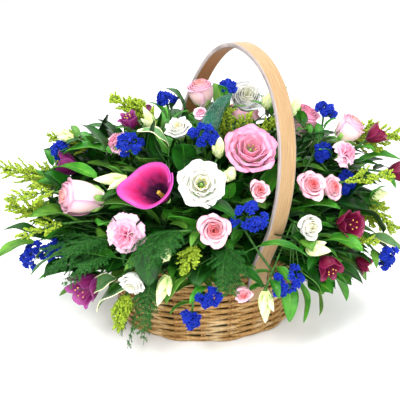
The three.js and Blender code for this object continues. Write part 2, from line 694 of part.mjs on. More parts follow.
// Every sprig stands by its first stem in its own plain hole in the foam, and the other stems
// leave the first ones.  A stem is bowed wider until it passes clear of the other nodes.
class Sprig {
  constructor(node, foot) {
    this.node = node;
    this.foot = foot;
    this.starts = [];
    this.points = [];
    this.blades = [];
    const line = [vec([...foot, STEM.footZ]), vec([...foot, STEM.hubZ + 6])];
    const column = stemSolid(line, [STEM.footRadius + CLEAR, STEM.footRadius + CLEAR]);
    obstacles.push({ node, solid: column, box: boxOf(column) });
  }

  // cup is the radius of a calyx at the stem's very end, if it has one
  stemTo(end, axis, { radius = STEM.radius, cup = 0 } = {}) {
    const first = this.starts.length === 0;
    const hub = vec([...this.foot, STEM.hubZ + 3]);
    const nearer = (p, q) => p.distanceTo(end) - q.distanceTo(end);
    const starts = first ? [hub] : [...this.starts].sort(nearer);
    const neck = cup ? end.clone().addScaledVector(axis, -CALYX.length) : end;
    for (const start of starts) {
      const span = start.distanceTo(neck);
      const sideways = new THREE.Vector3(neck.y - start.y, start.x - neck.x, 0).normalize();
      for (const { arrival, lift, bow } of STEM_WAYS) {
        const rise = start.clone().addScaledVector(sideways, 0.6 * bow);
        rise.z += Math.max(first ? 8 : 2, 0.2 * span + lift);
        const arrive = neck.clone().addScaledVector(axis, -arrival * span).addScaledVector(sideways, bow);
        if (end.z < STEM.hubZ) arrive.z = Math.max(arrive.z + 0.5 * lift, STEM.overRim);
        const curve = new THREE.CubicBezierCurve3(start, rise, arrive, neck);
        const line = curve.getPoints(STEM.steps);
        if (!isClear(this.node, stemSolid(line, line.map(() => radius + CLEAR)))) continue;
        this.addStem(line, radius, first, cup ? end : null, cup);
        for (let t = 0.15; t < 0.95; t += 0.08) this.points.push(pointAlong(line, t));
        return;
      }
    }
    problems.push(`no way for a stem of ${this.node} to ${end.toArray().map(Math.round)}`);
  }

  addStem(line, radius, first, top, cup) {
    const low = vec([...this.foot, STEM.footZ]);
    const rings = first ? [[low, STEM.footRadius], [low.clone().setZ(STEM.hubZ), STEM.footRadius]] : [];
    line.forEach((point, k) => {
      if (!first || k > 0) rings.push([point, k === 0 ? TWIG.root : radius]);
    });
    if (top) rings.push([top, cup]);
    addPiece(this.node, stemSolid(rings.map(([point]) => point), rings.map(([, r]) => r), STEM.sides));
    this.starts.push(...line.slice(1, -1));
  }

  // The stalk of a leaf or a bud leaves the nearest stem that it can reach freely and without
  // doubling back
  grow(base, along, make) {
    const ahead = (p) => base.clone().sub(p).normalize().dot(along) > TWIG.ahead;
    const nearer = (p, q) => p.distanceTo(base) - q.distanceTo(base);
    for (const stalk of this.points.filter(ahead).sort(nearer).slice(0, TWIG.choices)) {
      const blade = make(stalk, 0);
      const crossed = this.blades.some((other) => !other.intersect(blade).isEmpty());
      if (!crossed && isClear(this.node, make(stalk, CLEAR))) {
        addPiece(this.node, blade);
        this.blades.push(blade);
        this.points = this.points.filter((p) => p !== stalk);
        return true;
      }
    }
    return false;
  }

  leafFits({ from, to, width }) {
    return swung(from, to, (base, tip, size) => (
      this.grow(base, tip.clone().sub(base).normalize(), (stalk, pad) => (
        leafSolid(stalk, base, tip, width * size, pad)))));
  }

  addLeaf(leaf) {
    if (!this.leafFits(leaf)) problems.push(`no room for a leaf of ${this.node} at ${leaf.from}`);
  }

  addBud({ at, facing, radius, length }) {
    const axis = unit(facing);
    for (const push of PUSHES) {
      const base = vec(at).addScaledVector(axis, push - length / 2);
      const made = this.grow(base, axis, (stalk, pad) => budSolid(stalk, base, axis, radius, length, pad));
      if (made) return;
    }
    problems.push(`no room for a bud of ${this.node} at ${at}`);
  }
}

// Swings a blade about its base, farther and farther, until it can be placed
function swung(from, to, place) {
  const base = vec(from);
  const reach = vec(to).sub(base);
  const side = new THREE.Vector3(-reach.y, reach.x, 0).normalize();
  const across = new THREE.Vector3().crossVectors(reach, side).normalize();
  return SWINGS.some(({ size, swing, lift }) => {
    const along = reach.clone().multiplyScalar(size);
    along.applyAxisAngle(across, THREE.MathUtils.degToRad(swing));
    along.applyAxisAngle(side, THREE.MathUtils.degToRad(lift));
    return place(base, base.clone().add(along), size);
  });
}

// The place of the calyx below each head is kept free
function keepCalyx(node, head) {
  const cup = lathe([[0, -CALYX.length - 2], [CALYX.top + 0.5, -GAP], [0, -GAP]], 5, head.matrix);
  obstacles.push({ node, solid: cup, box: boxOf(cup) });
}

// Papery trumpets on the faces of a core that don't touch one another
function staticeSolid(radius, matrix) {
  const core = STATICE.core * radius;
  const ball = mergeVertices(bare(new THREE.IcosahedronGeometry(core, 0)), 1e-3);
  const position = ball.getAttribute('position');
  const corner = (_, i) => new THREE.Vector3().fromBufferAttribute(position, i);
  const points = Array.from({ length: position.count }, corner);
  const side = (_, i) => [...ball.index.array.slice(3 * i, 3 * i + 3)];
  const faces = Array.from({ length: ball.index.count / 3 }, side);
  const grown = [];
  const triangles = [];
  for (const face of faces) {
    const shares = grown.some((other) => face.filter((v) => other.includes(v)).length > 1);
    const centre = face.reduce((sum, v) => sum.add(points[v]), vec([0, 0, 0])).normalize();
    if (shares || centre.z < -0.2) {
      triangles.push(...face);
      continue;
    }
    grown.push(face);
    const middle = face.reduce((sum, v) => sum.add(points[v]), vec([0, 0, 0])).divideScalar(3);
    const rim = face.map((v) => {
      const flare = points[v].clone().sub(middle).multiplyScalar(STATICE.flare);
      return points.push(centre.clone().multiplyScalar(radius).add(flare)) - 1;
    });
    const throat = points.push(centre.clone().multiplyScalar(STATICE.throat * radius)) - 1;
    for (let k = 0; k < 3; k += 1) {
      const n = (k + 1) % 3;
      triangles.push(face[k], face[n], rim[n], face[k], rim[n], rim[k], rim[k], rim[n], throat);
    }
  }
  return solidFrom(points.map((p) => p.applyMatrix4(matrix)), triangles);
}

// A head of statice is pushed outward until it is clear of the other nodes
function addStaticeHead(node, { at, facing, radius }) {
  const axis = unit(facing);
  for (const push of PUSHES) {
    const centre = vec(at).addScaledVector(axis, push);
    const matrix = standing(centre, axis);
    if (isClear(node, staticeSolid(radius + CLEAR, matrix))) {
      addPiece(node, staticeSolid(radius, matrix));
      return { end: centre.addScaledVector(axis, -0.3 * radius), axis };
    }
  }
  problems.push(`no room for a head of ${node} at ${at}`);
  return null;
}

// Narrow petals flared from a small throat
function addFlared(node, { at, facing, radius: R }) {
  const axis = unit(facing);
  const H = 1.2 * R;
  for (const push of PUSHES) {
    const seat = vec(at).addScaledVector(axis, push - H / 2);
    const petal = (pad) => ({ thick: 2 + pad, skew: 0.04 });
    const flower = (pad) => tieredHead({
      count: 3,
      rings: [[2.4, -2], [0.24 * R, 0.16 * H], [0.26 * R, 0.34 * H], [0.12 * R, 0.5 * H]],
      tiers: [
        { rows: [[0.62 * R + pad, 0.66 * H, 30]], tip: [R + pad, 0.86 * H], ...petal(pad) },
        { rows: [[0.5 * R, 0.74 * H, 27]], tip: [0.8 * R, 1.02 * H + pad], ...petal(pad) },
      ],
      matrix: standing(seat, axis),
      seed: Math.round(10 * R),
    });
    if (isClear(node, flower(CLEAR))) {
      addPiece(node, flower(0));
      return { end: seat.addScaledVector(axis, 0.1 * H), axis };
    }
  }
  problems.push(`no room for a flower of ${node} at ${at}`);
  return null;
}

// A plume of goldenrod: plump side branches in tiers along a drooping stem
function plumeSolid(base, tip, spread, pad) {
  const reach = tip.clone().sub(base);
  const length = reach.length();
  const rings = PLUME.levels.map((t, i) => [PLUME.root - 1.4 * t, i ? t * length : -1]);
  const tiers = PLUME.levels.slice(0, -2).map((_, t) => {
    const out = spread * (1.1 - 0.16 * t);
    const z = PLUME.levels[t + 1] * length;
    const middle = PLUME.middle * out;
    const half = THREE.MathUtils.radToDeg(Math.asin(Math.min(0.9, (PLUME.bead + pad) / middle)));
    const rows = [[middle, z + 0.3 * out, half]];
    return { rows, tip: [out + pad, z + 0.62 * out], thick: 2 * (PLUME.bead + pad), skew: 0, jitter: 0.12 };
  });
  const shape = (p) => p.setY(p.y - PLUME.droop * length * (p.z / length) ** 2);
  const matrix = standing(base, reach);
  return tieredHead({ count: 3, rings, tiers, matrix, shape, seed: Math.round(length) });
}

function addPlume(node, { from, to, spread }) {
  let end = null;
  swung(from, to, (base, tip, size) => {
    if (!isClear(node, plumeSolid(base, tip, spread * size, CLEAR))) return false;
    addPiece(node, plumeSolid(base, tip, spread * size, 0));
    const axis = tip.clone().sub(base).normalize();
    end = { end: base.clone().addScaledVector(axis, 2), axis };
    return true;
  });
  if (!end) problems.push(`no room for a plume of ${node} at ${from}`);
  return end;
}

// A fern frond: a flat arching stem whose two edges run out into narrow blades, shorter to the tip.
// A blade that would meet another node is left short.
function frondSolid(node, base, tip, blade) {
  const middle = base.clone().lerp(tip, 0.5);
  middle.z = THREE.MathUtils.lerp(middle.z, Math.max(base.z, tip.z), 0.6) + 4;
  const curve = new THREE.QuadraticBezierCurve3(base, middle, tip);
  const rings = [];
  const count = FROND.pairs * 2;
  for (let k = 0; k <= count; k += 1) {
    const t = k / (count + 1);
    const centre = curve.getPoint(t);
    const along = curve.getTangent(t);
    const across = new THREE.Vector3().crossVectors(along, UP).normalize();
    const up = new THREE.Vector3().crossVectors(across, along);
    const ring = diamond(centre, across, up, FROND.stem, FROND.thick / 2);
    for (const side of blade > 0 && k % 2 ? [-1, 1] : []) {
      const aim = across.clone().multiplyScalar(side);
      aim.addScaledVector(along, 0.5).addScaledVector(up, -0.2);
      const reach = blade * (1.05 - 0.65 * t);
      const size = [1, 0.7, 0.45].find((scale) => {
        const end = centre.clone().addScaledVector(aim, reach * scale + 1);
        return isClear(node, bladeSolid(centre, end, FROND.clear, FROND.thick + 1));
      });
      if (size) ring[side + 1] = centre.clone().addScaledVector(aim, reach * size);
    }
    rings.push(ring);
  }
  return { solid: ringSolid([...rings, [tip]]), axis: curve.getTangent(0) };
}

function addFrond(node, { from, to, blade }) {
  let end = null;
  swung(from, to, (base, tip, size) => {
    if (!isClear(node, frondSolid(node, base, tip, 0).solid)) return false;
    const frond = frondSolid(node, base, tip, blade * size);
    if (!isClear(node, frond.solid)) return false;
    addPiece(node, frond.solid);
    end = { end: base.clone().addScaledVector(frond.axis, 2), axis: frond.axis };
    return true;
  });
  if (!end) problems.push(`no room for a frond of ${node} at ${from}`);
  return end;
}

const SPRIGS = [
  { node: 'statice_left', foot: [-74, -8], colour: 'blue', make: addStaticeHead, parts: [
    { at: [-230, -42, 97], facing: [-0.8, -0.5, 0.3], radius: 15 },
    { at: [-202, -44, 104], facing: [-0.5, -0.7, 0.5], radius: 15 },
    { at: [-192, 2, 230], facing: [-0.7, -0.2, 0.7], radius: 13 } ] },
  { node: 'statice_upper_left', foot: [-22, -14], colour: 'blue', make: addStaticeHead, parts: [
    { at: [-95, -54, 250], facing: [-0.4, -0.5, 0.75], radius: 17 },
    { at: [-54, 26, 290], facing: [-0.3, 0, 0.95], radius: 12 } ] },
  { node: 'statice_top', foot: [14, -18], colour: 'blue', make: addStaticeHead, parts: [
    { at: [-4, -66, 264], facing: [0, -0.5, 0.85], radius: 17 },
    { at: [26, -6, 312], facing: [0.1, -0.2, 0.95], radius: 11 } ] },
  { node: 'statice_front', foot: [18, -46], colour: 'blue', make: addStaticeHead, parts: [
    { at: [46, -132, 187], facing: [0.2, -0.9, 0.3], radius: 18 },
    { at: [90, -136, 107], facing: [0.5, -0.85, -0.1], radius: 18 } ] },
  { node: 'statice_hanging', foot: [-16, -46], colour: 'blue', make: addStaticeHead, parts: [
    { at: [2, -146, 92], facing: [0, -0.9, -0.3], radius: 13 },
    { at: [-20, -140, 62], facing: [-0.2, -0.7, -0.6], radius: 12 } ] },
  { node: 'statice_right', foot: [74, -6], colour: 'blue', make: addStaticeHead, parts: [
    { at: [154, 14, 278], facing: [0.4, 0, 0.9], radius: 13 },
    { at: [146, -20, 232], facing: [0.4, -0.6, 0.7], radius: 12 },
    { at: [178, -26, 196], facing: [0.8, -0.5, 0.3], radius: 12 },
    { at: [233, -48, 99], facing: [0.9, -0.4, 0], radius: 15 } ] },
  { node: 'statice_back_left', foot: [-54, 22], colour: 'blue', make: addStaticeHead, parts: [
    { at: [-66, 128, 146], facing: [-0.3, 0.9, 0.1], radius: 16 },
    { at: [-168, 64, 196], facing: [-0.8, 0.5, 0.4], radius: 14 } ] },
  { node: 'statice_back_right', foot: [16, 44], colour: 'blue', make: addStaticeHead, parts: [
    { at: [122, 108, 208], facing: [0.5, 0.7, 0.5], radius: 15 },
    { at: [52, 142, 128], facing: [0.3, 0.95, 0], radius: 14 } ] },
  { node: 'alstroemeria_left', foot: [-70, 6], colour: 'purple', make: addFlared, parts: [
    { at: [-180, -2, 208], facing: [-0.85, -0.2, 0.4], radius: 19 },
    { at: [-97, -16, 268], facing: [-0.3, -0.3, 0.9], radius: 12 },
    { at: [-143, -106, 90], facing: [-0.55, -0.75, -0.2], radius: 21 } ] },
  { node: 'alstroemeria_right', foot: [52, -28], colour: 'burgundy', make: addFlared, parts: [
    { at: [168, -80, 158], facing: [0.5, -0.8, 0.25], radius: 17 },
    { at: [142, -114, 122], facing: [0.35, -0.8, -0.45], radius: 15 },
    { at: [202, -48, 92], facing: [0.75, -0.5, -0.4], radius: 12 } ] },
  { node: 'alstroemeria_upper_right', foot: [70, 8], colour: 'burgundy', make: addFlared, parts: [
    { at: [214, -2, 248], facing: [0.8, -0.1, 0.6], radius: 14 },
    { at: [242, -20, 207], facing: [0.95, -0.2, 0.1], radius: 16 } ] },
  { node: 'alstroemeria_back', foot: [-14, 40], colour: 'purple', make: addFlared, parts: [
    { at: [-88, 76, 250], facing: [-0.4, 0.5, 0.75], radius: 17 },
    { at: [-60, 116, 214], facing: [-0.2, 0.9, 0.35], radius: 14 } ] },
  { node: 'goldenrod_left', foot: [-62, -20], colour: 'lime', late: true, make: addPlume, parts: [
    { from: [-194, -10, 184], to: [-272, -20, 212], spread: 27 },
    { from: [-202, -30, 146], to: [-266, -28, 154], spread: 22 } ] },
  { node: 'goldenrod_upper_left', foot: [-36, 10], colour: 'lime', late: true, make: addPlume, parts: [
    { from: [-78, 8, 268], to: [-122, 8, 302], spread: 18 },
    { from: [-150, 30, 226], to: [-214, 30, 246], spread: 20 } ] },
  { node: 'goldenrod_right', foot: [62, 20], colour: 'lime', late: true, make: addPlume, parts: [
    { from: [192, 26, 236], to: [254, 22, 264], spread: 26 },
    { from: [206, -10, 166], to: [264, -30, 156], spread: 20 } ] },
  { node: 'goldenrod_front', foot: [-34, -44], colour: 'lime', late: true, make: addPlume, parts: [
    { from: [-16, -128, 150], to: [-30, -152, 128], spread: 14 },
    { from: [-98, -122, 84], to: [-112, -134, 40], spread: 16 } ] },
  { node: 'goldenrod_back', foot: [36, 42], colour: 'lime', late: true, make: addPlume, parts: [
    { from: [26, 130, 236], to: [30, 158, 262], spread: 18 },
    { from: [156, 84, 200], to: [214, 112, 214], spread: 20 } ] },
  { node: 'fern_left', foot: [-46, -8], colour: 'fern', late: true, make: addFrond, parts: [
    { from: [-120, -92, 140], to: [-206, -92, 128], blade: 30 },
    { from: [-118, -104, 128], to: [-190, -120, 112], blade: 26 } ] },
  { node: 'fern_front', foot: [-4, -50], colour: 'fern', late: true, make: addFrond, parts: [
    { from: [-34, -132, 170], to: [-92, -156, 138], blade: 28 },
    { from: [22, -134, 148], to: [26, -162, 102], blade: 24 } ] },
  { node: 'fern_low_left', foot: [-48, -42], colour: 'fern', late: true, make: addFrond, parts: [
    { from: [-64, -124, 112], to: [-98, -140, 18], blade: 28 } ] },
  { node: 'fern_back', foot: [-34, 42], colour: 'fern', late: true, make: addFrond, parts: [
    { from: [-100, 116, 128], to: [-134, 152, 78], blade: 28 },
    { from: [96, 128, 132], to: [128, 158, 92], blade: 28 } ] },
];

const GREENS = [
  { node: 'greens_front_left', foot: [-32, -28],
    carries: ['calla_front', 'carnation_left', 'lisianthus_low_left'],
    leaves: [
      { from: [-58, -86, 160], to: [-122, -112, 198], width: 38 },
      { from: [-36, -104, 128], to: [-98, -140, 126], width: 34 },
      { from: [-110, -116, 130], to: [-232, -66, 84], width: 26 },
      { from: [-60, -132, 160], to: [-70, -156, 112], width: 36 },
      { from: [-112, -112, 100], to: [-140, -128, 86], width: 20 },
      { from: [-92, -122, 92], to: [-138, -118, 58], width: 24 },
      { from: [-48, -58, 250], to: [-84, -60, 272], width: 24 } ],
    buds: [
      { at: [-54, -146, 100], facing: [-0.3, -0.35, -0.9], radius: 8, length: 34 },
      { at: [-50, -148, 146], facing: [0, -0.9, 0.2], radius: 8, length: 22 } ] },
  { node: 'greens_front', foot: [0, -34],
    carries: ['lisianthus_front', 'spray_rose_front', 'spray_rose_low', 'spray_rose_top'],
    leaves: [
      { from: [-18, -96, 142], to: [-44, -138, 192], width: 34 },
      { from: [18, -96, 142], to: [66, -124, 164], width: 34 },
      { from: [-6, -116, 198], to: [24, -148, 188], width: 26 },
      { from: [60, -132, 152], to: [116, -138, 142], width: 16 },
      { from: [20, -124, 120], to: [66, -150, 108], width: 20 },
      { from: [-20, -128, 120], to: [-58, -150, 92], width: 24 } ],
    buds: [
      { at: [14, -76, 256], facing: [0, -0.4, 0.9], radius: 7, length: 26 },
      { at: [26, -108, 230], facing: [0.1, -0.9, 0.3], radius: 7, length: 20 } ] },
  { node: 'greens_front_right', foot: [34, -32],
    carries: ['lisianthus_pink', 'spray_roses_centre', 'lisianthus_right'],
    leaves: [
      { from: [66, -76, 180], to: [112, -58, 238], width: 36 },
      { from: [84, -66, 132], to: [126, -92, 152], width: 28 },
      { from: [118, -106, 118], to: [184, -70, 48], width: 28 },
      { from: [110, -112, 112], to: [142, -110, 48], width: 26 },
      { from: [136, -84, 112], to: [182, -96, 90], width: 24 },
      { from: [98, -118, 96], to: [98, -142, 56], width: 20 },
      { from: [104, -114, 104], to: [120, -124, 46], width: 20 } ],
    buds: [
      { at: [66, -152, 86], facing: [0.05, -0.2, -0.98], radius: 8, length: 36 },
      { at: [132, -122, 142], facing: [0.85, -0.5, 0.1], radius: 8, length: 26 } ] },
  { node: 'greens_right', foot: [54, -8],
    carries: ['rose_right', 'carnation_right', 'carnation_low_right', 'spray_roses_right'],
    leaves: [
      { from: [104, -40, 150], to: [160, -84, 182], width: 36 },
      { from: [120, -14, 180], to: [190, 0, 184], width: 38 },
      { from: [166, -46, 172], to: [232, -40, 132], width: 58 },
      { from: [196, -6, 214], to: [254, -18, 222], width: 26 },
      { from: [210, -24, 116], to: [258, -40, 84], width: 20 },
      { from: [128, 4, 232], to: [152, 16, 256], width: 20 },
      { from: [180, 30, 150], to: [236, 20, 118], width: 32 } ],
    buds: [
      { at: [112, -10, 292], facing: [0.3, -0.1, 0.9], radius: 7, length: 24 },
      { at: [228, -22, 176], facing: [0.9, -0.2, 0.2], radius: 7, length: 20 } ] },
  { node: 'greens_left', foot: [-56, 2],
    carries: ['rose_left', 'carnation_upper_left'],
    leaves: [
      { from: [-92, -26, 180], to: [-152, -22, 222], width: 38 },
      { from: [-104, -34, 146], to: [-186, -52, 152], width: 40 },
      { from: [-122, -22, 232], to: [-184, 6, 244], width: 32 },
      { from: [-138, -54, 208], to: [-212, -14, 206], width: 24 },
      { from: [-226, -36, 114], to: [-278, -58, 96], width: 28 },
      { from: [-220, -30, 118], to: [-266, -36, 134], width: 26 },
      { from: [-150, 40, 160], to: [-226, 44, 150], width: 32 },
      { from: [-196, -20, 138], to: [-232, -22, 146], width: 20 } ],
    buds: [
      { at: [-186, 2, 250], facing: [-0.9, 0, 0.35], radius: 6, length: 28 },
      { at: [-116, -88, 218], facing: [-0.9, -0.3, 0.1], radius: 8, length: 38 } ] },
  { node: 'greens_top', foot: [0, -2],
    carries: ['rose_white', 'rose_top', 'lisianthus_upper_left', 'rose_upper_right'],
    leaves: [
      { from: [-16, -24, 222], to: [-66, -16, 258], width: 34 },
      { from: [28, -20, 226], to: [86, -24, 262], width: 36 },
      { from: [-30, 30, 276], to: [-46, 30, 312], width: 28 },
      { from: [8, -44, 262], to: [26, -30, 306], width: 32 },
      { from: [80, 20, 270], to: [104, 10, 304], width: 26 },
      { from: [20, 56, 268], to: [10, 74, 306], width: 26 } ],
    buds: [
      { at: [-74, -26, 280], facing: [-0.4, -0.2, 0.9], radius: 6, length: 28 },
      { at: [78, -8, 300], facing: [0.2, -0.2, 0.95], radius: 6, length: 24 } ] },
  { node: 'greens_back_left', foot: [-32, 26],
    carries: ['rose_back_left', 'spray_rose_back'],
    leaves: [
      { from: [-58, 74, 176], to: [-96, 104, 232], width: 38 },
      { from: [-30, 88, 140], to: [-62, 134, 186], width: 34 },
      { from: [-150, 76, 150], to: [-224, 92, 140], width: 32 },
      { from: [-92, 122, 118], to: [-122, 162, 90], width: 28 },
      { from: [-112, 58, 222], to: [-170, 78, 246], width: 28 },
      { from: [-34, 132, 112], to: [-42, 160, 62], width: 28 },
      { from: [-24, 112, 226], to: [-30, 146, 250], width: 26 },
      { from: [-160, 40, 130], to: [-216, 60, 90], width: 28 } ],
    buds: [
      { at: [-150, 72, 222], facing: [-0.6, 0.5, 0.6], radius: 7, length: 26 } ] },
  { node: 'greens_back_right', foot: [34, 24],
    carries: ['rose_back', 'carnation_back', 'lisianthus_back', 'lisianthus_back_pink'],
    leaves: [
      { from: [36, 84, 180], to: [10, 122, 246], width: 34 },
      { from: [88, 60, 170], to: [148, 74, 214], width: 38 },
      { from: [30, 132, 118], to: [40, 162, 74], width: 28 },
      { from: [104, 112, 112], to: [142, 150, 72], width: 28 },
      { from: [156, 76, 150], to: [222, 96, 140], width: 32 },
      { from: [110, 72, 232], to: [158, 100, 254], width: 28 },
      { from: [84, 62, 268], to: [112, 84, 300], width: 24 },
      { from: [176, 40, 186], to: [238, 54, 176], width: 28 } ],
    buds: [
      { at: [92, 104, 234], facing: [0.3, 0.6, 0.75], radius: 7, length: 24 } ] },
];

// ---------------------------------------------------------------- building it all
const colours = new Map();
const foamBlock = makeFoam();
addPiece('basket_body', makeBasket());
addPiece('basket_rim', makeRim());
addPiece('handle', makeHandle());
addPiece('liner', makeLiner());
addPiece('foam', foamBlock);
for (const head of HEADS) {
  addPiece(head.node, HEAD_MAKERS[head.kind](head));
  colours.set(head.node, head.colour);
}

const headsOf = (green) => HEADS.filter((head) => green.carries.includes(head.node));
const plants = new Map();
for (const plant of [...GREENS, ...SPRIGS]) {
  plants.set(plant, new Sprig(plant.node, plant.foot));
  colours.set(plant.node, plant.colour ?? 'leaf');
}
for (const green of GREENS) {
  for (const head of headsOf(green)) keepCalyx(green.node, head);
}
const places = new Map();
for (const sprig of SPRIGS) {
  if (!sprig.late) places.set(sprig, sprig.parts.map((part) => sprig.make(sprig.node, part)));
}
for (const green of GREENS) {
  for (const head of headsOf(green)) {
    const end = head.seat.clone().addScaledVector(head.axis, -GAP);
    plants.get(green).stemTo(end, head.axis, { cup: CALYX.top });
  }
}
for (const [sprig, ends] of places) {
  for (const place of ends) {
    if (place) plants.get(sprig).stemTo(place.end, place.axis);
  }
}
for (const green of GREENS) {
  for (const leaf of green.leaves) plants.get(green).addLeaf(leaf);
  for (const bud of green.buds) plants.get(green).addBud(bud);
}
for (const sprig of SPRIGS.filter((other) => other.late)) {
  for (const part of sprig.parts) {
    const place = sprig.make(sprig.node, part);
    if (place) plants.get(sprig).stemTo(place.end, place.axis, { radius: STEM.thin });
  }
}
const distanceOf = (plant, place) => Math.min(...plant.points.map((p) => p.distanceTo(place)));
for (let k = 0; k < SKIRT.count; k += 1) {
  const edge = ovalPoint(((k + 0.5) / SKIRT.count) * 2 * Math.PI, BASKET.height, 0).setZ(0);
  const from = edge.clone().multiplyScalar(SKIRT.inner).setZ(SKIRT.baseZ).toArray();
  const to = edge.clone().multiplyScalar(SKIRT.outer).setZ(SKIRT.tipZ).toArray();
  GREENS.map((green) => plants.get(green))
    .sort((a, b) => distanceOf(a, vec(from)) - distanceOf(b, vec(from)))
    .slice(0, 3)
    .some((plant) => plant.leafFits({ from, to, width: SKIRT.width }));
}
if (problems.length) throw new Error(problems.join('; '));
nodes.set('foam', [pierce(foamBlock, [...GREENS, ...SPRIGS].map((plant) => plant.foot))]);

const FINISH = { roughness: 0.7, metalness: 0 };
const NODE_COLOURS = {
  basket_body: 'wicker', basket_rim: 'wicker', handle: 'wood', liner: 'liner', foam: 'foam',
};
const group = new THREE.Group();
for (const [name, solids] of nodes) {
  const { vertProperties, triVerts } = oneBody(fuse(solids)).getMesh();
  const geometry = new THREE.BufferGeometry();
  geometry.setAttribute('position', new THREE.BufferAttribute(vertProperties, 3));
  geometry.setIndex(new THREE.BufferAttribute(triVerts, 1));
  const colour = COLOURS[NODE_COLOURS[name] ?? colours.get(name)];
  const mesh = new THREE.Mesh(geometry, new THREE.MeshStandardMaterial({ color: colour, ...FINISH }));
  mesh.name = name;
  group.add(mesh);
}

export default group;
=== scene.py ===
import math
import random

import bpy
import numpy as np
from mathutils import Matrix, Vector


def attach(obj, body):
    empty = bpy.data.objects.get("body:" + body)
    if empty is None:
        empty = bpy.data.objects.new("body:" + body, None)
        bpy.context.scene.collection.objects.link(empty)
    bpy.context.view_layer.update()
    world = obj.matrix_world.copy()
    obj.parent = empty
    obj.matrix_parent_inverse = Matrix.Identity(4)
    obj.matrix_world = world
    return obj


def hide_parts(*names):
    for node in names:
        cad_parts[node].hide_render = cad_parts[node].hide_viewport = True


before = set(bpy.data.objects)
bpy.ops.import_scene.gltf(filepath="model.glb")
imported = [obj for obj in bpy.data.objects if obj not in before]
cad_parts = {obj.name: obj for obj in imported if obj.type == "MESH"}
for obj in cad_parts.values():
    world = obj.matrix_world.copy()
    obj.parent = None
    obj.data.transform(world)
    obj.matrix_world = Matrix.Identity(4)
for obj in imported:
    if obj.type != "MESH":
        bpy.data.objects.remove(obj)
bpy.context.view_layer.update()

# Lengths are millimetres in the frame's own axes unless a comment says metres; meshes are made in metres.
# A bloom's R is its radius and H its height.
MM = 0.001
SEED = 7
# The turn from one petal, floret or leaf to the next in a spiral
GOLDEN = math.pi * (3 - math.sqrt(5))

# ---------------------------------------------------------------- camera, light, floor
TARGET = Vector((-9.5, 0, 160)) * MM
DISTANCE = 864 * MM
ELEVATION = math.radians(20)
LENS, SENSOR = 57.6, 36
# Metres
FLOOR_HALF, FLOOR_DROP = 30, 0.0004
WORLD_STRENGTH = 1.12
# Lamps: name, place and width in metres, power in watts
LAMPS = (
    ("key", (-0.9, -1.5, 1.9), 1.0, 48),
    ("fill", (0.5, -2.0, 0.8), 1.6, 30),
    ("top", (0.1, 0.3, 2.2), 1.2, 32),
    ("rear", (0.2, 1.9, 1.3), 1.6, 12),
)


def add_object(name, data):
    item = bpy.data.objects.new(name, data)
    bpy.context.collection.objects.link(item)
    return item


def look_along(item, way):
    item.rotation_euler = way.to_track_quat("-Z", "Y").to_euler()


def make_camera():
    view = Vector((0, math.cos(ELEVATION), -math.sin(ELEVATION)))
    camera = add_object("camera", bpy.data.cameras.new("camera"))
    camera.data.lens = LENS
    camera.data.sensor_width = SENSOR
    camera.location = TARGET - view * DISTANCE
    look_along(camera, view)
    bpy.context.scene.camera = camera


def make_floor():
    mesh = bpy.data.meshes.new("floor")
    corners = [(x * FLOOR_HALF, y * FLOOR_HALF, 0) for x, y in ((-1, -1), (1, -1), (1, 1), (-1, 1))]
    mesh.from_pydata(corners, [], [(0, 1, 2, 3)])
    floor = add_object("floor", mesh)
    floor.location.z = -FLOOR_DROP
    paint = Paint("floor", rough=0.9)
    paint.colour(paint.mix(paint.noise(3, 2), srgb("f0f0f0"), srgb("f4f4f4")))
    mesh.materials.append(paint.material)


def make_light():
    world = bpy.data.worlds.new("studio")
    world.use_nodes = True
    background = world.node_tree.nodes["Background"]
    background.inputs["Color"].default_value = (1, 1, 1, 1)
    background.inputs["Strength"].default_value = WORLD_STRENGTH
    bpy.context.scene.world = world
    bpy.context.scene.view_settings.view_transform = "Standard"
    for name, place, width, power in LAMPS:
        light = bpy.data.lights.new(name, "AREA")
        light.shape = "DISK"
        light.size = width
        light.energy = power
        lamp = add_object(name, light)
        lamp.location = place
        look_along(lamp, TARGET - Vector(place))


# ---------------------------------------------------------------- materials
def srgb(code):
    """A shader colour from six hexadecimal digits"""
    parts = [int(code[i:i + 2], 16) / 255 for i in (0, 2, 4)]
    return tuple(c / 12.92 if c <= 0.04045 else ((c + 0.055) / 1.055) ** 2.4 for c in parts) + (1.0,)


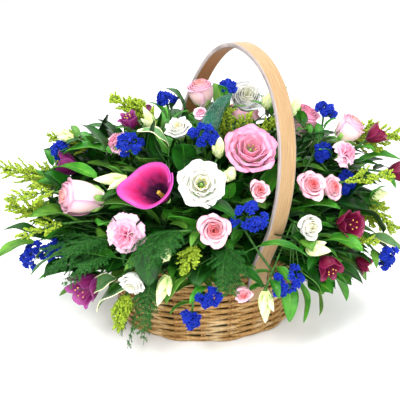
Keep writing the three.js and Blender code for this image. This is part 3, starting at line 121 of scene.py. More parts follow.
class Paint:
    """A node material built by small steps.  UV x runs across a blade and y from its root to its tip.
    The attribute "tone" holds a blade's own tone and how far out of the heart it stands."""

    def __init__(self, name, rough, **sockets):
        self.material = bpy.data.materials.new(name)
        self.material.use_nodes = True
        self.tree = self.material.node_tree
        self.shader = self.tree.nodes["Principled BSDF"]
        self.shader.inputs["Roughness"].default_value = rough
        for socket, value in sockets.items():
            self.shader.inputs[socket.replace("_", " ")].default_value = value
        self.coords = self.node("ShaderNodeTexCoord")
        split = self.node("ShaderNodeSeparateXYZ")
        self.link(self.coords.outputs["UV"], split.inputs[0])
        self.across, self.along = split.outputs[:2]
        tone = self.node("ShaderNodeAttribute", attribute_name="tone")
        split = self.node("ShaderNodeSeparateColor")
        self.link(tone.outputs["Color"], split.inputs[0])
        self.tone, self.depth = split.outputs[:2]

    def node(self, kind, **values):
        node = self.tree.nodes.new(kind)
        for key, value in values.items():
            setattr(node, key, value)
        return node

    def link(self, source, socket):
        if hasattr(source, "is_linked"):
            self.tree.links.new(source, socket)
        else:
            socket.default_value = source

    def mix(self, factor, first, second):
        node = self.node("ShaderNodeMix", data_type="RGBA")
        # a colour mix has its factor at socket 0 and its two colours at 6 and 7
        for socket, item in zip((0, 6, 7), (factor, first, second)):
            self.link(item, node.inputs[socket])
        return node.outputs[2]

    def math(self, operation, first, second=0.0):
        node = self.node("ShaderNodeMath", operation=operation)
        self.link(first, node.inputs[0])
        self.link(second, node.inputs[1])
        return node.outputs[0]

    def times(self, first, second):
        return self.math("MULTIPLY", first, second)

    def remap(self, value, low, high, to_low=0.0, to_high=1.0):
        node = self.node("ShaderNodeMapRange")
        for socket, item in enumerate((value, low, high, to_low, to_high)):
            self.link(item, node.inputs[socket])
        return node.outputs[0]

    def noise(self, scale, detail, stretch=None, coords="Object"):
        node = self.node("ShaderNodeTexNoise")
        node.inputs["Scale"].default_value = scale
        node.inputs["Detail"].default_value = detail
        source = self.coords.outputs[coords]
        if stretch:
            mapping = self.node("ShaderNodeMapping")
            mapping.inputs["Scale"].default_value = stretch
            self.link(source, mapping.inputs["Vector"])
            source = mapping.outputs[0]
        self.link(source, node.inputs["Vector"])
        return node.outputs[0]

    def uv_noise(self, stretch, detail=3.0):
        return self.noise(1.0, detail, stretch, "UV")

    def off_middle(self):
        """0 on the midrib, 1 at the side edges"""
        return self.math("ABSOLUTE", self.remap(self.across, 0, 1, -1, 1))

    def edge(self, sharpness):
        """0 along the middle of a blade, 1 at its side edges and tip"""
        side, end = (self.math("POWER", part, sharpness) for part in (self.off_middle(), self.along))
        return self.math("MAXIMUM", side, end)

    def colour(self, source):
        self.link(source, self.shader.inputs["Base Color"])

    def toned_colour(self, tint, darkest, lightest):
        """The base colour, made darker or lighter by each blade's own tone"""
        hue = self.node("ShaderNodeHueSaturation")
        self.link(self.remap(self.tone, 0, 1, darkest, lightest), hue.inputs["Value"])
        self.link(tint, hue.inputs["Color"])
        self.colour(hue.outputs[0])

    def bump(self, height, strength, distance):
        node = self.node("ShaderNodeBump")
        node.inputs["Strength"].default_value = strength
        node.inputs["Distance"].default_value = distance
        self.link(height, node.inputs["Height"])
        self.link(node.outputs[0], self.shader.inputs["Normal"])


def petal_paint(name, root, body, edge, streak, reach, rough, deep=None, rim=5.0, low=0.02):
    """Petal: root to body colour between low and reach, a tinted edge, fine veins from root to tip"""
    paint = Paint(name, rough, Subsurface_Weight=0.2, Subsurface_Scale=0.005, Specular_IOR_Level=0.3)
    paint.shader.inputs["Subsurface Radius"].default_value = (1.0, 0.55, 0.45)
    veins = paint.uv_noise((38, 2.2, 1))
    cloud = paint.remap(paint.noise(90, 2), 0.3, 0.7, -0.12, 0.12)
    rise = paint.math("ADD", paint.along, cloud)
    tint = paint.mix(paint.remap(rise, low, reach), srgb(root), srgb(body))
    tint = paint.mix(paint.times(paint.edge(rim), 0.75), tint, srgb(edge))
    if deep:
        tint = paint.mix(paint.remap(paint.depth, 0.55, 0.0), tint, srgb(deep))
    shade = paint.times(paint.remap(veins, 0.35, 0.7), streak)
    tint = paint.mix(shade, tint, srgb(root if streak > 0.3 else edge))
    paint.toned_colour(tint, 0.92, 1.1)
    paint.bump(veins, 0.35, 0.0004)
    return paint.material


def leaf_paint(name, dark, light, rib, rough, margin=None, fleck=0.0):
    """Leaf: paler midrib and side veins, blotches, a satin skin, sometimes a cream margin or pale flecks"""
    paint = Paint(name, rough, Specular_IOR_Level=0.3)
    blotch = paint.noise(55, 4)
    tint = paint.mix(paint.remap(blotch, 0.35, 0.68), srgb(dark), srgb(light))
    side = paint.off_middle()
    slant = paint.math("SUBTRACT", paint.times(paint.along, 11), paint.times(side, 2.6))
    lines = paint.math("ABSOLUTE", paint.math("SUBTRACT", paint.math("FRACT", slant), 0.5))
    vein = paint.times(paint.remap(lines, 0.06, 0.0), 0.35)
    middle = paint.times(paint.remap(side, 0.07, 0.015), 0.8)
    mark = paint.math("MAXIMUM", vein, middle)
    tint = paint.mix(mark, tint, srgb(rib))
    if margin:
        ragged = paint.remap(paint.noise(140, 3), 0, 1, -0.25, 0.25)
        border = paint.math("ADD", paint.edge(2.5), ragged)
        tint = paint.mix(paint.remap(border, 0.7, 0.85), tint, srgb(margin))
    if fleck:
        specks = paint.remap(paint.noise(900, 2), 0.6, 0.66)
        tint = paint.mix(paint.times(specks, fleck), tint, srgb("dfe8c8"))
    paint.toned_colour(tint, 0.72, 1.25)
    paint.link(paint.remap(blotch, 0, 1, rough - 0.08, rough + 0.12), paint.shader.inputs["Roughness"])
    paint.bump(paint.math("SUBTRACT", blotch, paint.times(mark, 1.5)), 0.4, 0.0005)
    return paint.material


def grain_paint(name, dark, light, rough, scale, stretch=(1, 1, 1), pale=None):
    """Stems, beads and small parts: fine mottling along their length, paler to the tip if pale is given"""
    paint = Paint(name, rough, Specular_IOR_Level=0.3)
    grain = paint.noise(scale, 4, stretch)
    tint = paint.mix(paint.remap(grain, 0.3, 0.7), srgb(dark), srgb(light))
    if pale:
        tint = paint.mix(paint.remap(paint.along, 0.35, 1.0), tint, srgb(pale))
    paint.toned_colour(tint, 0.75, 1.2)
    paint.bump(grain, 0.5, 0.0004)
    return paint.material


def wicker_paint(name, dark, light, pale):
    """Peeled willow: long fibres and bleached patches"""
    paint = Paint(name, 0.5, Specular_IOR_Level=0.35)
    fibre = paint.uv_noise((9, 260, 1), 4)
    patch = paint.noise(38, 3)
    tint = paint.mix(paint.remap(fibre, 0.3, 0.72), srgb(dark), srgb(light))
    tint = paint.mix(paint.times(paint.remap(patch, 0.5, 0.75), 0.6), tint, srgb(pale))
    paint.toned_colour(tint, 0.8, 1.15)
    paint.bump(fibre, 0.5, 0.0005)
    return paint.material


def wood_paint(name, dark, light, rough):
    """Sawn ash: fine pores and flecks along the band"""
    paint = Paint(name, rough, Specular_IOR_Level=0.25)
    grain = paint.uv_noise((46, 30, 1), 5)
    fleck = paint.uv_noise((24, 210, 1), 3)
    wash = paint.noise(14, 2)
    tint = paint.mix(paint.remap(grain, 0.3, 0.7), srgb(dark), srgb(light))
    tint = paint.mix(paint.times(paint.remap(fleck, 0.58, 0.72), 0.45), tint, srgb(dark))
    tint = paint.mix(paint.remap(wash, 0.3, 0.7, 0.0, 0.25), tint, srgb(light))
    paint.colour(tint)
    paint.bump(paint.math("ADD", grain, fleck), 0.35, 0.0003)
    return paint.material


def speckled_paint(name, rough, scale, detail, dark, light, strength, depth):
    """Foam or plastic: two close colours and a bump from one noise"""
    paint = Paint(name, rough)
    specks = paint.noise(scale, detail)
    paint.colour(paint.mix(paint.remap(specks, 0.3, 0.7), srgb(dark), srgb(light)))
    paint.bump(specks, strength, depth)
    return paint.material


def nail_paint():
    paint = Paint("nail", 0.45, Metallic=0.8)
    paint.colour(paint.mix(paint.noise(900, 2), srgb("2a221c"), srgb("55483c")))
    return paint.material


# Petals: colours of the root, body and edge, strength of the veins, where the body colour is reached,
# roughness, colour deep in the heart
PETALS = {
    "blush": ("f6e0cc", "f5c9c4", "dfa6d0", 0.14, 0.45, 0.5, "eeaa9e"),
    # The brighter copy of white in the next row is painted light: it lifts the top white rose out of the
    # shade that falls on it
    "shade_lifted_white": ("fbfbe2", "ffffff", "ffffff", 0.08, 0.35, 0.5, "fbfbe2"),
    "rosePink": ("fae0dc", "f4b4c3", "e998c4", 0.2, 0.5, 0.5, "e88ea4"),
    "coral": ("fbdfd6", "f8bcbb", "f2b4cc", 0.18, 0.4, 0.5, "f26c6c"),
    # This white stays a little below pure white so that the blooms facing the key lamp do not burn out: a
    # shaded copy of the white above, painted shade
    "white": ("eceeca", "efede6", "f2f1ec", 0.08, 0.35, 0.5, "f3f2cc"),
    "carnation": ("f4a2bc", "f9bace", "f4cfe6", 0.22, 0.5, 0.55, "ee8eac"),
    "purple": ("34092c", "7c1a60", "b050a4", 0.6, 0.5, 0.42),
    "burgundy": ("2a0416", "68082f", "962458", 0.6, 0.5, 0.38),
    "statice": ("061068", "0a1f9c", "1a3fd2", 0.2, 0.5, 0.6),
    "bud": ("a9bf55", "d6e096", "f0f0cf", 0.3, 0.8, 0.5),
    # The calla's near-black root, held over the first third of the sheet and turning to magenta by four
    # fifths, is painted shade deep in its throat
    "magenta": ("1c0410", "ba1c5e", "b552b4", 0.2, 0.82, 0.42, None, 13, 0.34),
}
# Leaves: colours in the dark and light blotches and on the ribs, roughness, margin, share of flecks
LEAVES = {
    "dark": ("052a06", "14540b", "3c8222", 0.4),
    "fresh": ("1c6a16", "468f22", "8cc04a", 0.4),
    "olive": ("32661a", "5c8e2c", "93b956", 0.46),
    "blue": ("074030", "10604a", "2f8066", 0.25, None, 0.35),
    "edged": ("3a6b35", "5d8f52", "86ae6e", 0.45, "e6e6b8", 0.3),
}
# Stems and beads: material, dark and light colour, roughness, scale of the mottling
GRAINS = {
    "green": ("stem_green", "174010", "3f7228", 0.45, 260, (1, 1, 0.4)),
    "sepal": ("sepal_green", "4f8a34", "86b356", 0.45, 260, (1, 1, 0.4), "9cc46a"),
    "fern": ("fern_green", "06360e", "2a7a22", 0.55, 300),
    "lime": ("plume_lime", "5a7f10", "acbf34", 0.6, 500),
    "gold": ("stamen_gold", "c9a024", "f0d860", 0.6, 600),
}


def make_paints():
    paints = {name: petal_paint("petal_" + name, *looks) for name, looks in PETALS.items()}
    paints.update({name: leaf_paint("leaf_" + name, *looks) for name, looks in LEAVES.items()})
    paints.update({name: grain_paint(*looks) for name, looks in GRAINS.items()})
    paints["rod"] = wicker_paint("willow_rod", "6e4c22", "c09656", "dfcba0")
    paints["stake"] = wicker_paint("willow_stake", "6e4620", "a87c48", "caa878")
    paints["outer"] = wood_paint("hoop_outer", "836540", "b49670", 0.55)
    paints["inner"] = wood_paint("hoop_inner", "73482a", "a47448", 0.6)
    paints["edge"] = wood_paint("hoop_edge", "6f6664", "a89e9c", 0.75)
    paints["metal"] = nail_paint()
    return paints


def dress_foam_and_liner():
    foam = speckled_paint("wet_foam", 0.85, 900, 4, "123d1c", "2c6b38", 0.8, 0.001)
    liner = speckled_paint("liner", 0.4, 60, 4, "1d2a1c", "344632", 0.3, 0.0004)
    for node, material in (("foam", foam), ("liner", liner)):
        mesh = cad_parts[node].data
        mesh.materials.clear()
        mesh.materials.append(material)


# ---------------------------------------------------------------- vectors and lines
def arr(*p):
    return np.array(p, dtype=float)


def unit(v):
    v = np.asarray(v, dtype=float)
    return v / (np.linalg.norm(v) + 1e-12)


def units(rows):
    """Each row of an array, made one long"""
    return rows / (np.linalg.norm(rows, axis=-1, keepdims=True) + 1e-9)


def circle(count):
    """Angles all the way round"""
    return np.arange(count) / count * math.tau


def polar(r, angle, z):
    """Points at a distance from the axis, an angle and a height, arrays allowed"""
    return np.stack(np.broadcast_arrays(r * np.cos(angle), r * np.sin(angle), z), axis=-1)


def standing(place, direction, roll=0.0):
    """4x4 that stands a piece at a place with its own +Z along a direction"""
    z = unit(direction)
    guide = arr(0, 1, 0) if abs(z[2]) > 0.95 else arr(0, 0, 1)
    x = unit(np.cross(guide, z))
    y = np.cross(z, x)
    c, s = math.cos(roll), math.sin(roll)
    m = np.eye(4)
    m[:3, 0], m[:3, 1], m[:3, 2], m[:3, 3] = x * c + y * s, y * c - x * s, z, place
    return m


def place(points, matrix):
    return np.asarray(points) @ matrix[:3, :3].T + matrix[:3, 3]


def turned(vector, axis, degrees):
    """A vector turned about an axis"""
    angle = math.radians(degrees)
    c, s = math.cos(angle), math.sin(angle)
    return vector * c + np.cross(axis, vector) * s + axis * (axis @ vector) * (1 - c)


def bezier(points, count):
    """Points of a curve with three or four controls"""
    p = [arr(*q) for q in points]
    t = np.linspace(0, 1, count)[:, None]
    if len(p) == 3:
        return (1 - t) ** 2 * p[0] + 2 * t * (1 - t) * p[1] + t ** 2 * p[2]
    return (1 - t) ** 3 * p[0] + 3 * t * (1 - t) ** 2 * p[1] + 3 * t ** 2 * (1 - t) * p[2] + t ** 3 * p[3]


# ---------------------------------------------------------------- mesh gathering
PLAIN_TONE = (0.5, 0.5)
# A bead of radius 1
BEAD_SIDES, BEAD_LENGTH = 6, 1.3


class Piece:
    """One object: thin sheets and tubes gathered in millimetres, with a material for each.
    A tone is a blade's own lightness and how far out of the heart it stands."""

    def __init__(self, name):
        self.name = name
        self.verts, self.uvs, self.tones, self.faces, self.flat, self.slots = [], [], [], [], [], []
        self.count = 0
        self.materials = []

    def slot(self, material):
        if material not in self.materials:
            self.materials.append(material)
        return self.materials.index(material)

    def add(self, points, faces, uv, material, tone, flat=None):
        """Points with their UV, and faces of four corners; a triangle has its last corner twice"""
        self.verts.append(points)
        self.uvs.append(uv)
        rows = tone if isinstance(tone, np.ndarray) else np.tile(arr(*tone, 0, 1), (len(points), 1))
        self.tones.append(rows)
        self.faces.append(np.asarray(faces) + self.count)
        self.flat.append(np.zeros(len(faces), bool) if flat is None else flat)
        self.slots.append(np.full(len(faces), self.slot(material)))
        self.count += len(points)

    def sheet(self, grid, material, tone, matrix=None, thick=0.5, wrap=False):
        """A thin closed blade from a grid of points [along, across, xyz]"""
        nv, nu, _ = grid.shape
        if matrix is not None:
            grid = place(grid, matrix)
        du = np.gradient(grid, axis=1)
        if wrap:
            du = (np.roll(grid, -1, axis=1) - np.roll(grid, 1, axis=1)) / 2
        normal = units(np.cross(du, np.gradient(grid, axis=0)))
        index = np.arange(nv * nu).reshape(nv, nu)
        top, low = grid + normal * thick / 2, grid - normal * thick / 2
        right = np.roll(index, -1, axis=1) if wrap else index[:, 1:]
        left = index if wrap else index[:, :-1]
        quads = np.stack([left[:-1], right[:-1], right[1:], left[1:]], axis=-1).reshape(-1, 4)
        under = quads[:, ::-1] + nv * nu
        if wrap:
            loops = [(index[0], -1), (index[-1], 1)]
        else:
            loops = [(np.concatenate([index[0], index[1:, -1], index[-1, -2::-1], index[-2:0:-1, 0]]), -1)]
        rims = []
        for loop, way in loops:
            loop = np.append(loop, loop[0])
            a, b = (loop[:-1], loop[1:])[::way]
            rims.append(np.stack([b, a, a + nv * nu, b + nv * nu], axis=-1))
        rim = np.concatenate(rims)
        v, u = np.meshgrid(np.linspace(0, 1, nv), np.linspace(0, 1, nu), indexing="ij")
        uv = np.stack([u, v], axis=-1).reshape(-1, 2)
        flat = np.concatenate([np.zeros(2 * len(quads), bool), np.ones(len(rim), bool)])
        points = np.concatenate([top.reshape(-1, 3), low.reshape(-1, 3)])
        self.add(points, np.concatenate([quads, under, rim]), np.concatenate([uv, uv]), material, tone, flat)

    def tube(self, line, radii, material, tone=PLAIN_TONE, sides=6, closed=False, guide=(0, 0, 1)):
        """A tube along a line of points; an open one closes to a point at its ends"""
        line = np.asarray(line, dtype=float)
        n = len(line)
        radii = np.broadcast_to(np.asarray(radii, dtype=float), (n,)).reshape(n, 1, 1)
        if closed:
            along = units(np.roll(line, -1, axis=0) - np.roll(line, 1, axis=0))
        else:
            along = units(np.gradient(line, axis=0))
        guide = unit(guide)
        if not closed and abs(along @ guide).max() > 0.97:
            guide = unit(np.cross(along[0], arr(0.3, 1, 0.2)))
        side = units(np.cross(along, guide))
        other = np.cross(side, along)
        angle = circle(sides)[None, :, None]
        ring = np.cos(angle) * side[:, None] + np.sin(angle) * other[:, None]
        points = (line[:, None] + ring * radii).reshape(-1, 3)
        index = np.arange(n * sides).reshape(n, sides)
        if closed:
            index = np.concatenate([index, index[:1]])
        across = np.roll(index, -1, axis=1)
        faces = np.stack([index[:-1], across[:-1], across[1:], index[1:]], axis=-1).reshape(-1, 4)
        v = np.repeat(np.linspace(0, 1, n), sides)
        u = np.tile(np.arange(sides) / sides, n)
        if not closed:
            points = np.concatenate([points, line[:1], line[-1:]])
            first, last = np.full(sides, n * sides), np.full(sides, n * sides + 1)
            caps = [np.stack([across[0], index[0], first, first], axis=-1),
                    np.stack([index[-1], across[-1], last, last], axis=-1)]
            faces = np.concatenate([faces] + caps)
            v, u = np.append(v, [0, 1]), np.append(u, [0.5, 0.5])
        self.add(points, faces, np.stack([u, v], axis=-1), material, tone)

    def scatter(self, shapes, quads, uv, material, tones):
        """Many copies of one small shape: their points [copy, point, xyz] and a tone for each"""
        copies, size, _ = shapes.shape
        faces = (np.array(quads)[None] + size * np.arange(copies)[:, None, None]).reshape(-1, 4)
        rows = np.array([(tone, 0.5, 0, 1) for tone in tones]).repeat(size, axis=0)
        self.add(shapes.reshape(-1, 3), faces, np.tile(uv, (copies, 1)), material, rows)

    def beads(self, centres, radii, material, tones, axis=(0, 0, 1)):
        """Small six-sided beads, all with the same axis"""
        ring = polar(1, circle(BEAD_SIDES), 0.0)
        low, high = ring * 0.8 + [0, 0, -0.35], ring + [0, 0, 0.45]
        shape = np.concatenate([[[0, 0, -BEAD_LENGTH]], low, high, [[0, 0, BEAD_LENGTH * 0.8]]])
        shape = shape @ standing((0, 0, 0), axis)[:3, :3].T
        quads = []
        up, top = BEAD_SIDES, 2 * BEAD_SIDES + 1
        for a in range(1, BEAD_SIDES + 1):
            b = a % BEAD_SIDES + 1
            quads += [(0, b, a, a), (a, b, b + up, a + up), (a + up, b + up, top, top)]
        share = np.arange(BEAD_SIDES) / BEAD_SIDES
        uv = np.array([[0.5, 0], *((u, 0.3) for u in share), *((u, 0.7) for u in share), [0.5, 1]])
        shapes = shape[None] * np.reshape(radii, (-1, 1, 1)) + np.asarray(centres)[:, None]
        self.scatter(shapes, quads, uv, material, tones)

    def needles(self, roots, tips, width, material, tones):
        """Four-sided spikes, for the finest foliage"""
        way = tips - roots
        side = width * units(np.cross(way, arr(0.31, 0.52, 0.79)))
        other = width * units(np.cross(way, side))
        middle = roots + way * 0.4
        shapes = np.stack([roots, middle + side, middle + other, middle - side, middle - other, tips], axis=1)
        round_about = ((1, 2), (2, 3), (3, 4), (4, 1))
        quads = [(0, b, a, a) for a, b in round_about] + [(a, b, 5, 5) for a, b in round_about]
        uv = np.array([[0.5, 0], [0, 0.4], [0.5, 0.4], [1, 0.4], [0.5, 0.4], [0.5, 1]])
        self.scatter(shapes, quads, uv, material, tones)

    def build(self, node):
        """Makes the object, rides it on the body and lets it replace its node"""
        points = np.concatenate(self.verts) * MM
        faces = np.concatenate(self.faces)
        sizes = np.where(faces[:, 2] == faces[:, 3], 3, 4)
        loops = faces[np.arange(4)[None, :] < sizes[:, None]]
        starts = np.concatenate([[0], np.cumsum(sizes)[:-1]])
        mesh = bpy.data.meshes.new(self.name)
        mesh.vertices.add(len(points))
        mesh.vertices.foreach_set("co", points.ravel())
        mesh.loops.add(len(loops))
        mesh.loops.foreach_set("vertex_index", loops.astype(np.int32))
        mesh.polygons.add(len(faces))
        mesh.polygons.foreach_set("loop_start", starts.astype(np.int32))
        mesh.polygons.foreach_set("material_index", np.concatenate(self.slots).astype(np.int32))
        mesh.update(calc_edges=True)
        mesh.validate()
        layer = mesh.uv_layers.new(name="blade")
        layer.data.foreach_set("uv", np.concatenate(self.uvs)[loops].astype(np.float32).ravel())
        tone = mesh.attributes.new("tone", "FLOAT_COLOR", "POINT")
        tone.data.foreach_set("color", np.concatenate(self.tones).astype(np.float32).ravel())
        sharp = mesh.attributes.new("sharp_face", "BOOLEAN", "FACE")
        sharp.data.foreach_set("value", np.concatenate(self.flat))
        for material in self.materials:
            mesh.materials.append(material)
        piece = add_object(self.name, mesh)
        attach(piece, "root")
        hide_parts(node)


# ---------------------------------------------------------------- what stands where
# Bloom heads: node, kind, colour, middle of the bloom, the way it faces, radius, height, roll
HEADS = [
    ("rose_left", "rose", "blush", (-158, -68, 188), (-0.85, -0.4, 0.22), 23, 58, 0),
    ("rose_top", "rose", "blush", (-8, 30, 300), (-0.15, -0.25, 0.95), 18, 38, 0),
    # The top white rose takes the brightened copy of white: painted light against the shade that falls on it
    ("rose_white", "rose", "shade_lifted_white", (52, 27, 293), (0.05, -0.8, 0.6), 28, 37, 0),
    ("rose_right", "rose", "blush", (186, 8, 257), (0.55, -0.15, 0.8), 18, 38, 0),
    ("rose_upper_right", "rose", "rosePink", (128, 24, 266), (0.35, -0.3, 0.88), 19, 40, 0),
    ("rose_back_left", "rose", "blush", (-118, 100, 186), (-0.62, 0.72, 0.25), 22, 50, 0),
    ("rose_back", "rose", "rosePink", (74, 122, 186), (0.35, 0.88, 0.28), 22, 48, 0),
    ("lisianthus_front", "lisianthus", "white", (-8, -118, 222), (0.05, -0.86, 0.5), 27, 26, 0),
    ("lisianthus_pink", "lisianthus", "rosePink", (50, -76, 250), (0.1, -0.72, 0.68), 31, 34, 0),
    ("lisianthus_right", "rose", "white", (118, -116, 170), (0.45, -0.85, 0.2), 18, 24, 0),
    ("lisianthus_low_left", "lisianthus", "white", (-88, -138, 108), (-0.3, -0.85, -0.35), 15, 26, 0),
    ("lisianthus_upper_left", "lisianthus", "white", (-36, -42, 268), (-0.2, -0.5, 0.8), 16, 24, 0),
    ("lisianthus_back", "lisianthus", "white", (2, 134, 205), (0.05, 0.88, 0.45), 26, 26, 0),
    ("lisianthus_back_pink", "lisianthus", "rosePink", (48, 92, 252), (0.1, 0.7, 0.7), 27, 32, 0),
    ("calla_front", "calla", "magenta", (-60, -108, 211), (-0.32, -0.7, 0.62), 27, 62, 3.5),
    ("spray_rose_front", "sprayRose", "coral", (6, -142, 177), (0.05, -0.96, 0.22), 23, 28, 0),
    ("spray_rose_top", "sprayRose", "carnation", (-8, -8, 278), (-0.1, -0.45, 0.88), 13, 22, 0),
    ("spray_rose_low", "sprayRose", "coral", (41, -142, 96), (0.15, -0.92, -0.25), 14, 20, 0),
    ("spray_rose_back", "sprayRose", "coral", (-2, 140, 150), (0, 0.97, 0.1), 19, 26, 0),
    ("spray_roses_right", "sprayRose", "coral", (124, -76, 206), (0.3, -0.75, 0.55), 22, 28, 0),
    ("spray_roses_right", "sprayRose", "coral", (151, -64, 200), (0.55, -0.7, 0.4), 19, 26, 0),
    ("spray_roses_centre", "sprayRose", "coral", (58, -116, 214), (0.2, -0.85, 0.45), 15, 24, 0),
    ("carnation_left", "carnation", "carnation", (-98, -126, 162), (-0.4, -0.88, 0.2), 22, 22, 0),
    ("carnation_upper_left", "carnation", "carnation", (-118, -6, 242), (-0.5, -0.3, 0.8), 17, 20, 0),
    ("carnation_right", "carnation", "carnation", (174, -40, 238), (0.5, -0.6, 0.58), 16, 20, 0),
    ("carnation_low_right", "carnation", "carnation", (194, -48, 136), (0.75, -0.6, 0.05), 14, 18, 0),
    ("carnation_back", "carnation", "carnation", (134, 88, 166), (0.72, 0.66, 0.2), 20, 22, 0),
]
# Heads of a sprig, which the solids may have pushed along their axis: node, place, the way it faces, radius
STATICE = [
    ("statice_left", (-230, -42, 97), (-0.8, -0.5, 0.3), 15),
    ("statice_left", (-202, -44, 104), (-0.5, -0.7, 0.5), 15),
    ("statice_left", (-192, 2, 230), (-0.7, -0.2, 0.7), 13),
    ("statice_upper_left", (-95, -54, 250), (-0.4, -0.5, 0.75), 17),
    ("statice_upper_left", (-54, 26, 290), (-0.3, 0, 0.95), 12),
    ("statice_top", (-4, -66, 264), (0, -0.5, 0.85), 17),
    ("statice_top", (26, -6, 312), (0.1, -0.2, 0.95), 11),
    ("statice_front", (46, -132, 187), (0.2, -0.9, 0.3), 18),
    ("statice_front", (90, -136, 107), (0.5, -0.85, -0.1), 18),
    ("statice_hanging", (2, -146, 92), (0, -0.9, -0.3), 13),
    ("statice_hanging", (-20, -140, 62), (-0.2, -0.7, -0.6), 12),
    ("statice_right", (154, 14, 278), (0.4, 0, 0.9), 13),
    ("statice_right", (146, -20, 232), (0.4, -0.6, 0.7), 12),
    ("statice_right", (178, -26, 196), (0.8, -0.5, 0.3), 12),
    ("statice_right", (233, -48, 99), (0.9, -0.4, 0), 15),
    ("statice_back_left", (-66, 128, 146), (-0.3, 0.9, 0.1), 16),
    ("statice_back_left", (-168, 64, 196), (-0.8, 0.5, 0.4), 14),
    ("statice_back_right", (122, 108, 208), (0.5, 0.7, 0.5), 15),
    ("statice_back_right", (52, 142, 128), (0.3, 0.95, 0), 14),
]
FLARED = [
    ("alstroemeria_left", (-180, -2, 208), (-0.85, -0.2, 0.4), 19),
    ("alstroemeria_left", (-97, -16, 268), (-0.3, -0.3, 0.9), 12),
    ("alstroemeria_left", (-143, -106, 90), (-0.55, -0.75, -0.2), 21),
    ("alstroemeria_right", (168, -80, 158), (0.5, -0.8, 0.25), 17),
    ("alstroemeria_right", (142, -114, 122), (0.35, -0.8, -0.45), 15),
    ("alstroemeria_right", (202, -48, 92), (0.75, -0.5, -0.4), 12),
    ("alstroemeria_upper_right", (214, -2, 248), (0.8, -0.1, 0.6), 14),
    ("alstroemeria_upper_right", (242, -20, 207), (0.95, -0.2, 0.1), 16),
    ("alstroemeria_back", (-88, 76, 250), (-0.4, 0.5, 0.75), 17),
    ("alstroemeria_back", (-60, 116, 214), (-0.2, 0.9, 0.35), 14),
]
# Plumes and fronds: node, root, tip, reach of the side branches
PLUMES = [
    ("goldenrod_left", (-194, -10, 184), (-272, -20, 212), 27),
    ("goldenrod_left", (-202, -30, 146), (-266, -28, 154), 22),
    ("goldenrod_upper_left", (-78, 8, 268), (-122, 8, 302), 18),
    ("goldenrod_upper_left", (-150, 30, 226), (-214, 30, 246), 20),
    ("goldenrod_right", (192, 26, 236), (254, 22, 264), 26),
    ("goldenrod_right", (206, -10, 166), (264, -30, 156), 20),
    ("goldenrod_front", (-16, -128, 150), (-30, -152, 128), 14),
    ("goldenrod_front", (-98, -122, 84), (-112, -134, 40), 16),
    ("goldenrod_back", (26, 130, 236), (30, 158, 262), 18),
    ("goldenrod_back", (156, 84, 200), (214, 112, 214), 20),
]
FRONDS = [
    ("fern_left", (-120, -92, 140), (-206, -92, 128), 30),
    ("fern_left", (-118, -104, 128), (-190, -120, 112), 26),
    ("fern_front", (-34, -132, 170), (-92, -156, 138), 28),
    ("fern_front", (22, -134, 148), (26, -162, 102), 24),
    ("fern_low_left", (-64, -124, 112), (-98, -140, 18), 28),
    ("fern_back", (-100, 116, 128), (-134, 152, 78), 28),
    ("fern_back", (96, 128, 132), (128, 158, 92), 28),
]
# Small lime clusters between the blooms: node, root, tip, reach of the side twigs
LIME_CLUSTERS = [
    ("greens_top", (34, -20, 244), (50, -36, 288), 16),
    ("greens_top", (20, -16, 248), (28, -28, 292), 14),
    ("greens_top", (60, -22, 246), (80, -34, 280), 15),
    ("goldenrod_right", (166, -62, 206), (224, -74, 224), 16),
    ("goldenrod_right", (164, -66, 128), (214, -76, 136), 14),
    ("goldenrod_left", (-186, -70, 196), (-246, -82, 196), 17),
    ("goldenrod_left", (-176, -84, 160), (-232, -98, 152), 16),
    ("greens_top", (-66, -8, 262), (-84, -14, 300), 14),
]


# ---------------------------------------------------------------- petals and blooms
# Where along a petal its swelling ends, it flares and its lip rolls, and where it has its full width
SWELL_END, FULL_WIDTH = 0.62, 0.6
FLARE_FROM, FLARE_SPAN = 0.4, 0.6
LIP_FROM, LIP_SPAN = 0.78, 0.22
# Petals of a rose by its radius; small ones have fewer
ROSE_PETALS, SMALL_ROSE_PETALS, SMALL_ROSE = 20, 16, 19
SPRAY_PETALS, SMALL_SPRAY_PETALS, SMALL_SPRAY = 24, 16, 15
# A rose taller than this many radii is still half closed
BUD_SHAPE = 1.6
# Lisianthus layers from the outside in: petals, share of the radius, share of the height
LISIANTHUS = ((5, 1.0, 0.76), (5, 0.82, 0.86), (5, 0.58, 0.94), (4, 0.34, 0.9))
STAMENS = 7


def blade_grid(nu, nv):
    """u from -1 to 1 across a blade, v from 0 to 1 along it"""
    return np.linspace(-1, 1, nu)[None, :], np.linspace(0, 1, nv)[:, None]


def cup_petal(turn, half, radius, top, rng, nu=9, nv=9, lip=0.0, flare=1.0, round_top=0.3, skew=0.04,
              ruffle=0.0, waves=3, root=0.35):
    """A cupped petal round the axis: it rises from the seat, swells, and may roll out at its lip"""
    u, v = blade_grid(nu, nv)
    reach = v * (1 - round_top * np.abs(u) ** 2.4)
    swell = np.sin(np.minimum(reach / SWELL_END, 1) * math.pi / 2)
    shape = root + (1 - root) * swell
    shape = shape + (flare - 1) * np.clip((reach - FLARE_FROM) / FLARE_SPAN, 0, 1) ** 1.6
    curl = np.clip((reach - LIP_FROM) / LIP_SPAN, 0, 1) ** 2 * lip
    phase = rng.uniform(0, 2 * math.pi)
    wave = ruffle * np.sin(waves * math.pi * u + phase) * reach ** 3
    wave = wave + 0.4 * ruffle * np.sin((2 * waves + 1) * math.pi * u + 2 * phase) * reach ** 4
    r = radius * (shape + skew * u + 0.22 * curl) + wave
    z = top * (reach - 0.16 * curl) + 0.5 * wave
    share = np.sin(np.minimum(0.25 + 0.75 * v / FULL_WIDTH, 1) * math.pi / 2)
    return polar(r, turn + half * u * share, z)


